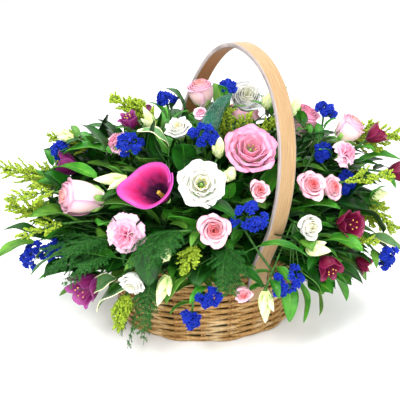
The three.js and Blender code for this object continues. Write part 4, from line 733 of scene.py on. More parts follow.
def add_rose(piece, matrix, R, H, material, rng, petals, openness=0.35):
    """Petals in a spiral, wrapped tight at the heart and rolled out at the rim"""
    open_flare = 0.3 * (0.6 + openness)
    widest = 0.82 + open_flare + 0.22 * 1.15 * (0.4 + openness) + 0.07
    fit = 1.02 / (0.92 * widest)
    for k in range(petals):
        s = k / (petals - 1)
        radius = R * (0.14 + 0.78 * s ** 0.75) * fit
        top = H * (1.0 - 0.1 * s - 0.1 * rng.random() * s)
        grid = cup_petal(k * GOLDEN, math.radians(78 - 26 * s), radius, top, rng,
                         lip=(0.25 + 0.9 * s) * (0.4 + openness), flare=0.82 + open_flare * s,
                         round_top=0.16 + 0.12 * s, skew=0.07, ruffle=0.6 * s, waves=2, root=0.42)
        piece.sheet(grid, material, (rng.random(), s), matrix, 0.5)


def add_bud_rose(piece, matrix, R, H, material, rng, petals=13):
    """A half-open rose: long broad petals wrapped round one another, the outer lips just rolling out"""
    for k in range(petals):
        s = k / (petals - 1)
        radius = R * (0.2 + 0.72 * s ** 0.7)
        top = H * (1.0 - 0.09 * s - 0.05 * rng.random() * s)
        grid = cup_petal(k * GOLDEN, math.radians(88 - 18 * s), radius, top, rng, nu=13, nv=12,
                         lip=0.3 + 0.7 * s ** 2, flare=0.86 + 0.12 * s, round_top=0.14 + 0.1 * s, skew=0.08,
                         ruffle=0.9 * s, waves=1.5, root=0.5)
        piece.sheet(grid, material, (rng.random(), s), matrix, 0.55)


def add_ruffled(piece, matrix, R, H, material, rng):
    """Lisianthus: wide ruffled petals in loose layers"""
    for layer, (count, size, top) in enumerate(LISIANTHUS):
        s = 1 - layer / len(LISIANTHUS)
        for k in range(count):
            turn = (k + 0.5 * (layer % 2) + 0.12 * rng.uniform(-1, 1)) * math.tau / count
            grid = cup_petal(turn, math.radians(300 / count), R * size * 0.74, H * top, rng, nu=13, nv=9,
                             lip=0.9 * s, flare=1.05 + 0.16 * s, round_top=0.12, skew=0.09,
                             ruffle=0.8 + 0.8 * s, waves=2.5, root=0.2)
            piece.sheet(grid, material, (rng.random(), s), matrix, 0.45)


def add_heart(piece, matrix, R, H, green, gold, rng):
    """The green pistil of a lisianthus with a ring of yellow stamens"""
    line = [[0, 0, z * H] for z in (0.1, 0.35, 0.55, 0.66)]
    piece.tube(place(line, matrix), [0.1 * R, 0.12 * R, 0.05 * R, 0.02 * R], green, sides=8)
    for a in circle(STAMENS):
        tip = polar(0.2 * R, a, 0.62 * H + rng.uniform(-1, 1))
        foot = polar(0.06 * R, a, 0.25 * H)
        piece.tube(place([foot, (foot + tip) / 2, tip], matrix), 0.35, green, sides=4)
        piece.beads(place(tip[None], matrix), [1.0], gold, [rng.random()])


def add_carnation(piece, matrix, R, H, material, rng, petals=22):
    """Broad wedge petals with waved, toothed ends, folded every way"""
    u, v = blade_grid(13, 8)
    for k in range(petals):
        s = k / (petals - 1)
        turn = k * GOLDEN
        tilt = math.radians(6 + 88 * s ** 1.1)
        length = R * (0.8 + 0.25 * s) * rng.uniform(0.85, 1.08)
        width = length * (0.1 + 0.62 * v ** 1.2)
        teeth = 0.05 * length * np.abs(np.sin(3 * math.pi * u)) * v ** 6
        reach = 0.1 * length + (length - teeth - 0.26 * length * np.abs(u) ** 3) * v
        x = reach * math.sin(tilt)
        z = 0.24 * H + reach * math.cos(tilt) * H / R * 0.78
        fold = 2.3 * np.sin(1.8 * math.pi * u + rng.uniform(0, 6)) * v ** 1.4
        x, z = x + fold * math.cos(tilt), z - fold * math.sin(tilt) - 0.1 * H * s * v ** 2
        y = width * u
        c, t = math.cos(turn), math.sin(turn)
        grid = np.stack([x * c - y * t, x * t + y * c, z], axis=-1)
        piece.sheet(grid, material, (rng.random(), s), matrix, 0.5)


def add_calla(piece, matrix, R, H, skin, spadix, rng):
    """One sheet wrapped into a funnel, its edges crossing at the front, round a short beaded spadix"""
    u, v = blade_grid(45, 22)
    theta = u * 1.06 * math.pi
    ahead = np.maximum(0, np.cos(theta))
    tip = 0.35 * ahead ** 2.4 + 0.65 * ahead ** 12
    radius = R * (0.2 + 0.42 * np.clip(v / 0.55, 0, 1) + 0.38 * np.clip((v - 0.45) / 0.55, 0, 1) ** 1.5)
    radius = radius * (1 + 0.45 * tip * v ** 2) + 1.4 * theta / math.pi * v
    roll = np.clip((v - 0.86) / 0.14, 0, 1) ** 2
    radius = radius + 2.2 * roll * (1 - 0.5 * tip)
    height = H * (0.06 + 0.78 * v + v ** 2 * (0.16 * tip - 0.1 * np.cos(theta))) - 1.6 * roll
    radius = radius + 0.35 * np.sin(5 * theta + 1) * v ** 3
    grid = polar(radius, theta, height) * arr(1, 0.96, 1)
    piece.sheet(grid, skin, PLAIN_TONE, matrix, 1.1)
    line = [[0, 0, z * H] for z in (0.08, 0.18, 0.26, 0.34, 0.4, 0.44)]
    piece.tube(place(line, matrix), [1.6, 1.9, 2.1, 2.2, 1.9, 0.9], spadix, sides=10)
    count = 60
    spots = [polar(2.1, k * GOLDEN, H * (0.16 + 0.27 * k / count)) for k in range(count)]
    tones = [rng.random() for _ in spots]
    piece.beads(place(spots, matrix), [0.55] * count, spadix, tones, matrix[:3, 2])


def add_calyx(piece, matrix, R, green, rng, size):
    """The green cup and its five pointed sepals below a bloom"""
    line = [[0, 0, z] for z in (-9.3, -6, -2.5, -0.3)]
    piece.tube(place(line, matrix), [2, 3, 5, 4.6], green, sides=10)
    for k in range(5):
        grid = cup_petal((k + 0.3) * math.tau / 5, 0.42, 0.5 * R * size, 0.42 * R * size + 4, rng, nu=5, nv=6,
                         round_top=0.9, root=0.5, skew=0)
        piece.sheet(grid - [0, 0, 1.2], green, (rng.random(), 0.5), matrix, 0.5)


def add_flared(piece, seat, axis, R, material, gold, rng):
    """Three broad outer petals, three narrow inner ones and thin stamens, flared from a throat"""
    matrix = standing(seat, axis)
    # the petals roll out past the radius that the solid has, from a throat almost twice as deep
    R, H = 1.12 * R, 1.9 * R
    for ring, (half, reach, top) in enumerate(((0.86, 1.0, 0.94), (0.6, 0.86, 1.04))):
        for k in range(3):
            turn = (k + 0.5 * ring) * math.tau / 3
            grid = cup_petal(turn, half, R * 0.72 * reach, H * top, rng, nu=11, nv=12, lip=0.6, flare=1.3,
                             round_top=0.42, skew=0.05, ruffle=1.0, waves=1.5, root=0.2)
            piece.sheet(grid, material, (rng.random(), 1 - ring * 0.6), matrix, 0.5)
    for a in circle(5) + 0.4:
        line = [polar(0.3 * R * t * t, a, H * (0.1 + 0.75 * t)) for t in (0, 0.4, 0.75, 1)]
        piece.tube(place(line, matrix), 0.35, material, sides=4)
        piece.beads(place(line[-1:], matrix), [0.9], gold, [rng.random()])


def spiral(k, rise):
    """The k-th way of a spiral over a ball, at a height from -1 to 1"""
    return polar(math.sqrt(1 - rise * rise), k * GOLDEN, rise)


def add_statice(piece, centre, axis, radius, blue, green, rng, lobes=9, florets=9):
    """A head of statice: uneven lobes of crinkled florets on short branching stalks"""
    matrix = standing(centre, axis, rng.uniform(0, 6))
    foot = arr(0, 0, -0.55 * radius)
    stretch = arr(rng.uniform(1.15, 1.35), rng.uniform(0.75, 0.95), rng.uniform(0.8, 1.0))
    for lobe in range(lobes):
        way = spiral(lobe, 1 - 1.3 * (lobe + 0.5) / lobes)
        heart = way * stretch * radius * rng.uniform(0.55, 0.9)
        size = radius * rng.uniform(0.24, 0.38)
        line = [foot, (foot + heart) / 2 + arr(0, 0, -1.5), heart]
        piece.tube(place(line, matrix), [0.8, 0.6, 0.5], green, sides=4)
        for k in range(florets):
            aim = unit(spiral(k, 1 - 1.8 * (k + 0.5) / florets) + way * 0.6)
            spot = place(heart + aim * size * rng.uniform(0.6, 1.1), matrix)
            lean = arr(*(rng.uniform(-0.5, 0.5) for _ in range(3)))
            stand = standing(spot, matrix[:3, :3] @ unit(aim + lean), rng.uniform(0, 6))
            add_floret(piece, stand, rng.uniform(2.3, 3.7), blue, rng)


def add_floret(piece, stand, size, blue, rng):
    """One papery trumpet with a crinkled rim"""
    a = circle(9)
    phase = rng.uniform(0, 6)
    rows = []
    for t, r, z in ((0, 0.22, -1.1), (0.5, 0.6, 0.0), (1, 1.0, 0.5)):
        ruffle = 1 + 0.24 * t * np.cos(5 * a + phase) + 0.12 * t * np.sin(3 * a + phase)
        rows.append(size * polar(r * ruffle, a, z + 0.22 * t * np.cos(4 * a + phase)))
    piece.sheet(np.stack(rows), blue, (rng.random(), 0.5), stand, 0.35, wrap=True)


def make_heads(pieces, paints, rng):
    """The blooms of HEADS, each on its own calyx"""
    green, gold = paints["sepal"], paints["gold"]
    for node, kind, colour, at, facing, R, H, roll in HEADS:
        axis = unit(facing)
        matrix = standing(arr(*at) - axis * H / 2, axis, roll)
        piece = pieces.setdefault(node, Piece(node + "_bloom"))
        bloom = (piece, matrix, R, H, paints[colour])
        if kind == "rose" and H > BUD_SHAPE * R:
            add_bud_rose(*bloom, rng)
        elif kind == "rose":
            add_rose(*bloom, rng, ROSE_PETALS if R > SMALL_ROSE else SMALL_ROSE_PETALS)
        elif kind == "lisianthus":
            add_ruffled(*bloom, rng)
            add_heart(piece, matrix, R, H, green, gold, rng)
        elif kind == "sprayRose":
            add_rose(*bloom, rng, SPRAY_PETALS if R > SMALL_SPRAY else SMALL_SPRAY_PETALS, openness=0.9)
        elif kind == "carnation":
            add_carnation(*bloom, rng)
        else:
            add_calla(*bloom, gold, rng)
        # long blooms have long sepals, and those of a calla shrink to nothing
        sepals = 0 if kind == "calla" else 1.5 if H > 2 * R else 1
        add_calyx(piece, matrix, R, green, rng, sepals)


# ---------------------------------------------------------------- greenery
STEM_RADIUS, STEM_POINTS = 1.7, 12
# A stem at least this long has leaves of its own
LEAFY_STEM = 60
# Share of a leaf's length that its midrib stands out on, and how high the blade arches
RIB_END, LEAF_ARCH = 0.86, 0.13
NARROW_LEAF, WIDE_LEAF = 27, 40
LEAF_CHOICE = ("dark", "fresh", "fresh", "olive")
# Leaves with a look of their own, by node and width
LEAF_LOOKS = {
    ("greens_front_left", 24): "edged", ("greens_front_left", 20): "edged", ("greens_right", 20): "edged",
    ("greens_top", 32): "blue", ("greens_front_left", 36): "dark", ("greens_right", 58): "dark",
    ("greens_front_left", 38): "olive", ("greens_left", 38): "olive", ("greens_front_right", 28): "fresh",
}
# Smaller twigs beside a plume, a frond or a bud: swing and lift in degrees, share of the size
PLUME_TWINS = ((34, -16, 0.72), (-30, 14, 0.66))
FROND_TWINS = ((24, 8, 0.9), (-24, -6, 0.95), (46, -14, 0.75), (-48, 16, 0.8))
BUD_TWINS = ((-30, 0, 0.72), (28, 20, 0.8), (26, 110, 0.66))
# How far below its base a bud's smaller neighbours leave the stalk
BUD_FORK = 16


def add_stem(piece, controls, foot, material, rng):
    """A stem along its controls, down to its foot in the foam if it has one"""
    line = bezier(controls, STEM_POINTS)
    if foot is not None:
        line = np.concatenate([[foot + arr(0, 0, 1)], line])
    radii = np.linspace(STEM_RADIUS * 1.05, STEM_RADIUS * 0.85, len(line))
    piece.tube(line, radii, material, (rng.random(), 0.5), sides=7)


def add_leaf(piece, stalk, base, tip, width, material, stem, rng, nu=9, nv=15, belly=0.42, thick=0.5):
    """A blade folded along its midrib, arched, its edges waved, on a short stalk"""
    length = np.linalg.norm(tip - base)
    along = unit(tip - base)
    guide = arr(1 if along[0] >= 0 else -1, 0.3, 0) if abs(along[2]) > 0.9 else arr(0, 0, 1)
    across = unit(np.cross(along, guide))
    up = np.cross(across, along)
    u, v = blade_grid(nu, nv)
    peak = belly / (1 - belly)
    shape = (v ** peak * (1 - v)) / (belly ** peak * (1 - belly))
    half = 0.5 * width * np.maximum(shape, 0) ** 0.8 + 0.4 * (1 - v)
    phase = rng.uniform(0, 6)
    wave = 0.035 * width * np.sin(7 * v * math.pi / 2 + phase + u) * np.abs(u) ** 2
    arch = LEAF_ARCH * length * 4 * v * (1 - v) - 0.04 * length * v ** 3
    lift = arch + 0.24 * half * np.abs(u) + wave
    grid = base + along * (v * length)[..., None] + across * (u * half)[..., None] + up * lift[..., None]
    piece.sheet(grid, material, (rng.random(), 0.5), None, thick)
    twist = stalk + (base - stalk) * 0.5 + arr(0, 0, -0.5)
    piece.tube(bezier([stalk, twist, base], 4), [1.1, 0.9, 0.8, 0.7], stem, sides=5)
    t = RIB_END * v[::2]
    rib = base + along * t * length + up * (LEAF_ARCH * length * 4 * t * (1 - t) - 0.2)
    piece.tube(rib, np.linspace(0.85, 0.2, len(rib)), stem, sides=5)


def add_bud(piece, stalk, base, axis, radius, length, petal, green, stem, rng):
    """A closed bud: petals twisted round one another, narrow sepals at its base"""
    matrix = standing(base, axis)
    u, v = blade_grid(7, 10)
    body = radius * np.sin(math.pi * (0.12 + 0.88 * v) ** 0.8) ** 0.8 * 0.84 + 0.25
    for k in range(5):
        angle = k * math.tau / 5 + u * 0.85 + 1.9 * v
        grid = polar(body * (1 + 0.07 * u), angle, length * v * (1 - 0.03 * u))
        piece.sheet(grid, petal, (rng.random(), 0.5), matrix, 0.5)
    for k in range(5):
        grid = cup_petal(k * math.tau / 5 + 0.5, 0.28, radius * 0.95, length * 0.5, rng, nu=5, nv=6,
                         flare=1.05, round_top=0.95, root=0.3, skew=0)
        piece.sheet(grid, green, (rng.random(), 0.5), matrix, 0.45)
    middle = (stalk + base) / 2 - axis * 2
    piece.tube(bezier([stalk, middle, base], 6), [1.1, 1.0, 1.0, 1.1, 1.4, 2.0], stem, sides=6)


def add_plume(piece, base, tip, spread, lime, green, rng, levels=13):
    """A plume: slender side twigs that point forward, each crowded with small flower buds"""
    reach = tip - base
    length = np.linalg.norm(reach)
    matrix = standing(base, reach)

    def spine(t):
        return arr(0, -0.08 * length * t * t, t * length)

    line = [spine(t) for t in np.linspace(-0.1, 0.97, 9)]
    piece.tube(place(line, matrix), np.linspace(1.1, 0.4, 9), green, sides=5)
    centres = []
    for level in range(levels):
        t = 0.02 + 0.86 * level / (levels - 1)
        root = spine(t)
        for side in range(2):
            out = spread * (1.35 - 0.95 * t) * rng.uniform(0.7, 1.1)
            turn = level * GOLDEN + side * math.pi + rng.uniform(-0.4, 0.4)
            way = unit(polar(1, turn, rng.uniform(0.7, 1.3)))
            twig = [root + way * out * s + arr(0, 0, 0.22 * out * s * s) for s in (0, 0.35, 0.7, 1.0)]
            piece.tube(place(twig, matrix), [0.7, 0.6, 0.5, 0.3], green, sides=4)
            count = max(8, int(out * 1.5))
            for k in range(count):
                s = 0.18 + 0.86 * k / count
                spot = root + way * out * s + arr(0, 0, 0.22 * out * s * s)
                shift = arr(rng.uniform(-1, 1), rng.uniform(-1, 1), rng.uniform(-0.4, 1))
                centres.append(spot + (2.0 - 1.1 * s) * shift)
    for _ in range(16):
        x, y = rng.uniform(-2, 2), rng.uniform(-2, 2)
        centres.append(arr(x, y - 0.08 * length, length * rng.uniform(0.82, 1.03)))
    radii = [rng.uniform(0.9, 1.6) for _ in centres]
    piece.beads(place(centres, matrix), radii, lime, [rng.random() for _ in centres], unit(reach))


def frond_middle(base, tip):
    """The control that lifts the middle of a frond's spine, as in the solids"""
    middle = (base + tip) / 2
    middle[2] += (max(base[2], tip[2]) - middle[2]) * 0.6 + 4
    return middle


def add_frond(piece, base, tip, blade, material, green, rng, pairs=15):
    """A feathery frond: uneven side branches both ways, each set with fine needles"""
    line = bezier([base, frond_middle(base, tip), tip], pairs + 2)
    piece.tube(line, np.linspace(1.0, 0.3, len(line)), green, sides=5)
    along = np.gradient(line, axis=0)
    roots, ends = [], []
    for k in range(1, pairs + 1):
        t = k / (pairs + 1)
        way = unit(along[k])
        across = unit(np.cross(way, arr(0, 0, 1)))
        up = np.cross(across, way)
        for side in (-1, 1):
            reach = blade * (1.1 - 0.7 * t) * rng.uniform(0.5, 1.12)
            aim = unit(across * side + way * rng.uniform(0.5, 1.2) + up * rng.uniform(-0.45, 0.25))
            twig = [line[k] + aim * reach * s - up * 0.1 * reach * s * s for s in (0, 0.35, 0.7, 1)]
            piece.tube(twig, [0.42, 0.35, 0.28, 0.18], green, sides=4)
            sets = int(reach * 1.3)
            for n in range(sets):
                s = (n + 0.5) / sets
                root = line[k] + aim * reach * s - up * 0.1 * reach * s * s
                for lean in (-1, 1):
                    forward = aim * rng.uniform(0.3, 0.9)
                    sideways = np.cross(aim, up) * lean * rng.uniform(0.5, 1)
                    dart = unit(forward + sideways + up * rng.uniform(-0.8, 0.8))
                    roots.append(root)
                    ends.append(root + dart * rng.uniform(2.2, 4.6) * (1.1 - 0.5 * s))
    piece.needles(np.array(roots), np.array(ends), 0.36, material, [rng.random() for _ in roots])


def beside(base, tip, swing, lift, size):
    """The end of a smaller twig that leaves the same place"""
    reach = turned((tip - base) * size, arr(0, 0, 1), swing)
    return base + turned(reach, unit(arr(-reach[1], reach[0], 0)), lift)


def add_solid_leaf(piece, node, leaf, paints, rng):
    """A leaf that the solids have, in the look that the photograph gives it"""
    stalk, base, tip, width = leaf
    look = LEAF_LOOKS.get((node, round(width)))
    look = look or ("dark" if width > WIDE_LEAF else rng.choice(LEAF_CHOICE))
    if look == "blue":
        base, tip = base + (base - tip) * 0.35, tip + (tip - base) * 0.12
    if look == "edged":
        width *= 1.5
    add_leaf(piece, stalk, base, tip, width, paints[look], paints["green"], rng,
             belly=0.36 if width < NARROW_LEAF else 0.46, thick=0.7)


def add_buds(piece, bud, paints, rng):
    """A bud and its smaller neighbours on forks of its stalk, with narrow leaves below"""
    stalk, base, axis, radius, length = bud
    colours = (paints["bud"], paints["sepal"], paints["green"])
    add_bud(piece, stalk, base, axis, radius, length, *colours, rng)
    fork = base + (stalk - base) * min(1, BUD_FORK / np.linalg.norm(stalk - base))
    for lean, round_about, size in BUD_TWINS:
        leaning = turned(axis, unit(np.cross(axis, arr(0.3, 1, 0.2))), lean)
        aim = turned(leaning, axis, round_about)
        add_bud(piece, fork, base - axis * 4 + aim * 3, aim, radius * size, length * size, *colours, rng)
    leaf_along(piece, [stalk, (stalk + base) / 2, base], paints, rng)


def leaf_along(piece, line, paints, rng):
    """Narrow leaves up the outer part of a stem, turned to either side"""
    curve = bezier(line, STEM_POINTS)
    if np.linalg.norm(np.diff(curve, axis=0), axis=1).sum() < LEAFY_STEM:
        return
    for k in range(4, STEM_POINTS - 1):
        if near_hoop(curve[k][None], 26):
            continue
        way = unit(curve[k + 1] - curve[k - 1])
        out = turned(unit(np.cross(way, arr(0, 0, 1))), way, 180 * (k % 2) + rng.uniform(-40, 40))
        base = curve[k] + out * 3
        tip = base + unit(out + way * rng.uniform(0.5, 1.1)) * rng.uniform(20, 34)
        paint = paints[rng.choice(LEAF_CHOICE)]
        add_leaf(piece, curve[k], base, tip, rng.uniform(9, 14), paint, paints["green"], rng, nu=5, nv=9)


def make_sprigs(pieces, plants, paints, rng):
    """Everything that the solids show, and the smaller twigs, buds and fronds beside it"""
    green, gold, lime, fern = (paints[name] for name in ("green", "gold", "lime", "fern"))
    for node, plant in plants.items():
        piece = pieces[node] = Piece(node + "_sprig")
        for head in plant["statice"]:
            add_statice(piece, *head, paints["statice"], green, rng)
        look = paints["burgundy" if "right" in node else "purple"]
        for head in plant["flared"]:
            add_flared(piece, *head, look, gold, rng)
        for base, tip, spread in plant["plume"]:
            add_plume(piece, base, tip, spread, lime, green, rng)
            for way in PLUME_TWINS:
                add_plume(piece, base, beside(base, tip, *way), spread * 0.7, lime, green, rng, levels=10)
        for base, tip, blade in plant["frond"]:
            add_frond(piece, base, tip, blade, fern, green, rng)
            for way in FROND_TWINS:
                add_frond(piece, base, beside(base, tip, *way), blade * 0.85, fern, green, rng, pairs=12)
        for leaf in plant["leaf"]:
            add_solid_leaf(piece, node, leaf, paints, rng)
        for bud in plant["bud"]:
            add_buds(piece, bud, paints, rng)
        for k, line in enumerate(plant["stem"]):
            add_stem(piece, line, plant["foot"] if k == 0 else None, green, rng)
            leaf_along(piece, line, paints, rng)


def add_lime_clusters(pieces, paints, rng):
    """The small clusters between the blooms, each on a stem from the middle of the foam"""
    green = paints["green"]
    for node, base, tip, spread in LIME_CLUSTERS:
        base, tip = arr(*base), arr(*tip)
        add_plume(pieces[node], base, tip, spread, paints["lime"], green, rng, levels=9)
        foot = arr(0.4 * base[0], 0.4 * base[1], HUB_Z)
        lift = arr(0.6 * base[0], 0.6 * base[1], base[2])
        pieces[node].tube(bezier([foot, lift, base], 9), 1.4, green, sides=6)


# ---------------------------------------------------------------- reading the solids
# How the solids are built: share of a leaf's width at its first ring, and the step between its rings
LEAF_SHARE, LEAF_STEP = 0.84, 0.38
# Radius of the top of a calyx, and its length
CALYX_TOP, CALYX_LENGTH = 5, 9
# Heights of the stems' feet and of the hub above the foam, the height of what clears the rim, and how far
# from the middle a foot may stand
FOOT_Z, HUB_Z, OVER_RIM, FOAM_REACH = 84, 113, 118, 100
STEM_CORNERS, THIN_CORNERS = 1.9, 1.5
# The pushes, swings and ways round that the solids try in turn until nothing is in the way
PUSHES = (0, 4, 8, 12, 16, 20, -5, 26)
SIZES, SWINGS, LIFTS = (1, 0.8, 0.6), range(-56, 57, 14), range(-42, 43, 14)
ARRIVALS = (0.35, 0.2, 0.5)
RISES = (0, 14, 28, -10, 45)
BOWS = (0, 10, -10, 20, -20, 32, -32, 46, -46, 60, -60)


class Solid:
    """A node's corners in millimetres, each with its neighbours"""

    def __init__(self, node):
        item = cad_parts[node]
        raw = np.empty(len(item.data.vertices) * 3)
        item.data.vertices.foreach_get("co", raw)
        raw = place(raw.reshape(-1, 3), np.array(item.matrix_world)) / MM
        self.points, back = np.unique(np.round(raw, 4), axis=0, return_inverse=True)
        back = back.ravel()
        self.near = [set() for _ in self.points]
        for polygon in item.data.polygons:
            corners = [int(back[v]) for v in polygon.vertices]
            for a, b in zip(corners, corners[1:] + corners[:1]):
                self.near[a].add(b)
                self.near[b].add(a)

    def corners_round(self, places, radius, slack=0.12):
        """How many corners lie at a radius from the places, all told"""
        distance = np.linalg.norm(self.points[None] - np.atleast_2d(places)[:, None], axis=2)
        return (np.abs(distance - radius) < slack).sum()

    def miss(self, spot):
        """How far the nearest corner is from a spot"""
        return np.linalg.norm(self.points - spot, axis=1).min()

    def rings(self, tip):
        """The rings of four corners that follow one another down from a tip"""
        ring, seen, found = self.near[tip], {tip}, []
        while len(ring) == 4 and len(found) < 3:
            found.append(self.points[list(ring)])
            seen |= ring
            ring = set().union(*(self.near[p] for p in ring)) - seen
        return found


def diagonals(ring):
    """The longer diagonal of four corners, and the one across it"""
    span = np.linalg.norm(ring[:, None] - ring[None], axis=2)
    a, b = np.unravel_index(span.argmax(), span.shape)
    c, d = [k for k in range(4) if k not in (a, b)]
    return span[a, b], span[c, d]


def read_blades(solid):
    """Leaves as (base, tip, width), buds as (base, axis, radius, length).  A leaf's rings are thin and its
    second one is a little wider; a bud's first ring is square."""
    leaves, buds = [], []
    for tip in range(len(solid.points)):
        rings = solid.rings(tip)
        if len(rings) < 2:
            continue
        (wide, thin), (wide_low, thin_low) = diagonals(rings[0]), diagonals(rings[1])
        end, middle, low = solid.points[tip], rings[0].mean(axis=0), rings[1].mean(axis=0)
        half = end - middle
        if max(thin, thin_low) < 1.5 and 1.05 < wide_low / wide < 1.2:
            leaves.append((end - (middle - low) / LEAF_STEP, end, wide / LEAF_SHARE))
        elif wide < 1.02 * thin and np.linalg.norm(half) > thin / 2:
            buds.append((middle - half, unit(half), wide / 2, 2 * np.linalg.norm(half)))
    return leaves, buds


def swung(start, stop, miss):
    """The swing of a blade whose end the solid has, by how far the solid misses it"""
    base, reach = arr(*start), arr(*stop) - arr(*start)
    side = unit(arr(-reach[1], reach[0], 0))
    across = unit(np.cross(reach, side))
    ways = [(base + turned(turned(reach * size, across, swing), side, lift), size)
            for size in SIZES for swing in SWINGS for lift in LIFTS]
    tip, size = min(ways, key=lambda way: miss(base, way[0]))
    return base, tip, size


def pushed(at, facing, mark):
    """How far a head was pushed along its axis, by the mark that its solid has"""
    axis = unit(facing)
    push = min(PUSHES, key=lambda step: mark(arr(*at) + axis * step, axis))
    return arr(*at) + axis * push, axis


def read_stem(solid, starts, end, axis, cup, first, radius):
    """The way from a start to an end that has the most of the solid's corners round it"""
    neck = end - axis * cup
    best = (-1, None, None)
    for start in starts:
        span = np.linalg.norm(neck - start)
        sideways = unit(arr(neck[1] - start[1], start[0] - neck[0], 0))
        for arrival, lift, bow in ((a, r, b) for a in ARRIVALS for r in RISES for b in BOWS):
            up = max(8 if first else 2, 0.2 * span + lift)
            rise = start + sideways * 0.6 * bow + arr(0, 0, up)
            arrive = neck - axis * arrival * span + sideways * bow
            if end[2] < HUB_Z - 3:
                arrive[2] = max(arrive[2] + 0.5 * lift, OVER_RIM)
            controls = [start, rise, arrive, neck]
            middle = bezier(controls, 4)[1:3]
            score = solid.corners_round(middle, radius)
            if score > best[0]:
                best = (score, controls, middle)
    return best[1:]


def read_stems(solid, ends, radius):
    """Centre lines of the stems to some ends, each (end, way in, length of the cup below it).  The first
    stem starts at the hub over its foot, and the others fork from the ones before."""
    low = solid.points[np.abs(solid.points[:, 2] - FOOT_Z) < 0.05]
    foot = low[np.hypot(low[:, 0], low[:, 1]) < FOAM_REACH].mean(axis=0)
    forks, lines = [], []
    for end, axis, cup in ends:
        starts = forks or [arr(foot[0], foot[1], HUB_Z)]
        controls, middle = read_stem(solid, starts, end, axis, cup, not forks, radius)
        lines.append(controls)
        forks.extend(middle)
    return foot, lines


def carried_heads(solid):
    """The ends of the stems that carry bloom heads: where the solid has the corners of a calyx"""
    ends = []
    for _, _, _, at, facing, _, height, _ in HEADS:
        axis = unit(facing)
        end = arr(*at) - axis * (height / 2 + 0.3)
        if solid.corners_round(end, CALYX_TOP) > 1:
            ends.append((end, axis, CALYX_LENGTH))
    return ends


def rows_of(table, node):
    return [row[1:] for row in table if row[0] == node]


def read_statice(node, solid):
    """Heads as (centre, axis, radius)"""
    heads = []
    for at, facing, radius in rows_of(STATICE, node):
        centre, axis = pushed(at, facing, lambda spot, _: -solid.corners_round(spot, 0.8 * radius))
        heads.append((centre, axis, radius))
    return heads


def read_flared(node, solid):
    """Flowers as (seat, axis, radius), found by the knee of a petal"""
    heads = []
    for at, facing, radius in rows_of(FLARED, node):
        height = 1.2 * radius
        knee = arr(0.12 * radius, 0.12 * math.sqrt(3) * radius, 0.16 * height)

        def mark(spot, axis):
            return solid.miss(place(knee, standing(spot - axis * height / 2, axis)))

        spot, axis = pushed(at, facing, mark)
        heads.append((spot - axis * height / 2, axis, radius))
    return heads


def read_plumes(node, solid):
    """Plumes as (base, tip, reach of the twigs), found by their first corners below the base"""
    plumes = []
    for start, stop, spread in rows_of(PLUMES, node):
        def mark(base, tip):
            first = arr(0, -0.08, 1) * np.linalg.norm(tip - base)
            return -solid.corners_round(place(first, standing(base, tip - base)), 0.8, 0.04)

        base, tip, size = swung(start, stop, mark)
        plumes.append((base, tip, spread * size))
    return plumes


def read_fronds(node, solid):
    """Fronds as (base, tip, reach of the branches)"""
    fronds = []
    for start, stop, blade in rows_of(FRONDS, node):
        base, tip, size = swung(start, stop, lambda _, tip: solid.miss(tip))
        fronds.append((base, tip, blade * size))
    return fronds


def sprig_ends(plant):
    """The ends that the stems of a sprig reach, a little inside what they carry"""
    ends = [(centre - axis * 0.3 * radius, axis, 0) for centre, axis, radius in plant["statice"]]
    ends += [(seat + axis * 0.12 * radius, axis, 0) for seat, axis, radius in plant["flared"]]
    for base, tip, _ in plant["plume"]:
        axis = unit(tip - base)
        ends.append((base + axis * 2, axis, 0))
    for base, tip, _ in plant["frond"]:
        axis = unit(frond_middle(base, tip) - base)
        ends.append((base + axis * 2, axis, 0))
    return ends


def nearest_ahead(points, base, along):
    """The point of a stem that a stalk leaves without doubling back"""
    ahead = [p for p in points if unit(base - p) @ along > 0.25] or points
    return min(ahead, key=lambda p: np.linalg.norm(p - base))


def read_plant(node, leafy):
    """What one node holds, where its solid has it"""
    solid = Solid(node)
    plant = {"statice": read_statice(node, solid), "flared": read_flared(node, solid),
             "plume": read_plumes(node, solid), "frond": read_fronds(node, solid)}
    ends = carried_heads(solid) if leafy else sprig_ends(plant)
    thin = plant["plume"] or plant["frond"]
    plant["foot"], plant["stem"] = read_stems(solid, ends, THIN_CORNERS if thin else STEM_CORNERS)
    points = [p for line in plant["stem"] for p in bezier(line, STEM_POINTS)[2:-1]]
    leaves, buds = read_blades(solid) if leafy else ([], [])
    plant["leaf"] = [(nearest_ahead(points, leaf[0], unit(leaf[1] - leaf[0])), *leaf) for leaf in leaves]
    plant["bud"] = [(nearest_ahead(points, bud[0], bud[1]), *bud) for bud in buds]
    return plant


def read_plants():
    """By node, everything that grows in the foam"""
    sprigs = {row[0] for table in (STATICE, FLARED, PLUMES, FRONDS) for row in table}
    plants = {}
    for node in sorted(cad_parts):
        leafy = node.startswith("greens")
        if leafy or node in sprigs:
            plants[node] = read_plant(node, leafy)
    return plants


# ---------------------------------------------------------------- basket, rim and hoop
BASKET = dict(turn=math.radians(7), half_length=122, half_width=98, flare_length=9, flare_width=8, height=92,
              stakes=22, rows=20)
ROD_RADIUS, STAKE_RADIUS, SPOKE_RADIUS, FLOOR_ROD = 2.3, 1.65, 1.9, 2.25
# How far the rods swing out and in round the stakes, and how far the stakes' line stands inside the oval
ROD_SWING, STAKE_INSET = 2.2, 2.6
FLOOR_RINGS, FLOOR_SPOKES = 20, 9
RIM = dict(strands=3, twists=13, inset=4.5, lift=6.6, radius=2.9, out=2.7, up=3.1)
HOOP = dict(turn=math.radians(57), foot_turn=math.radians(65), lean=0.178, lean_from=97, width=24.5,
            thickness=5.4, corner=1.5, foot_below=160, turning=60)
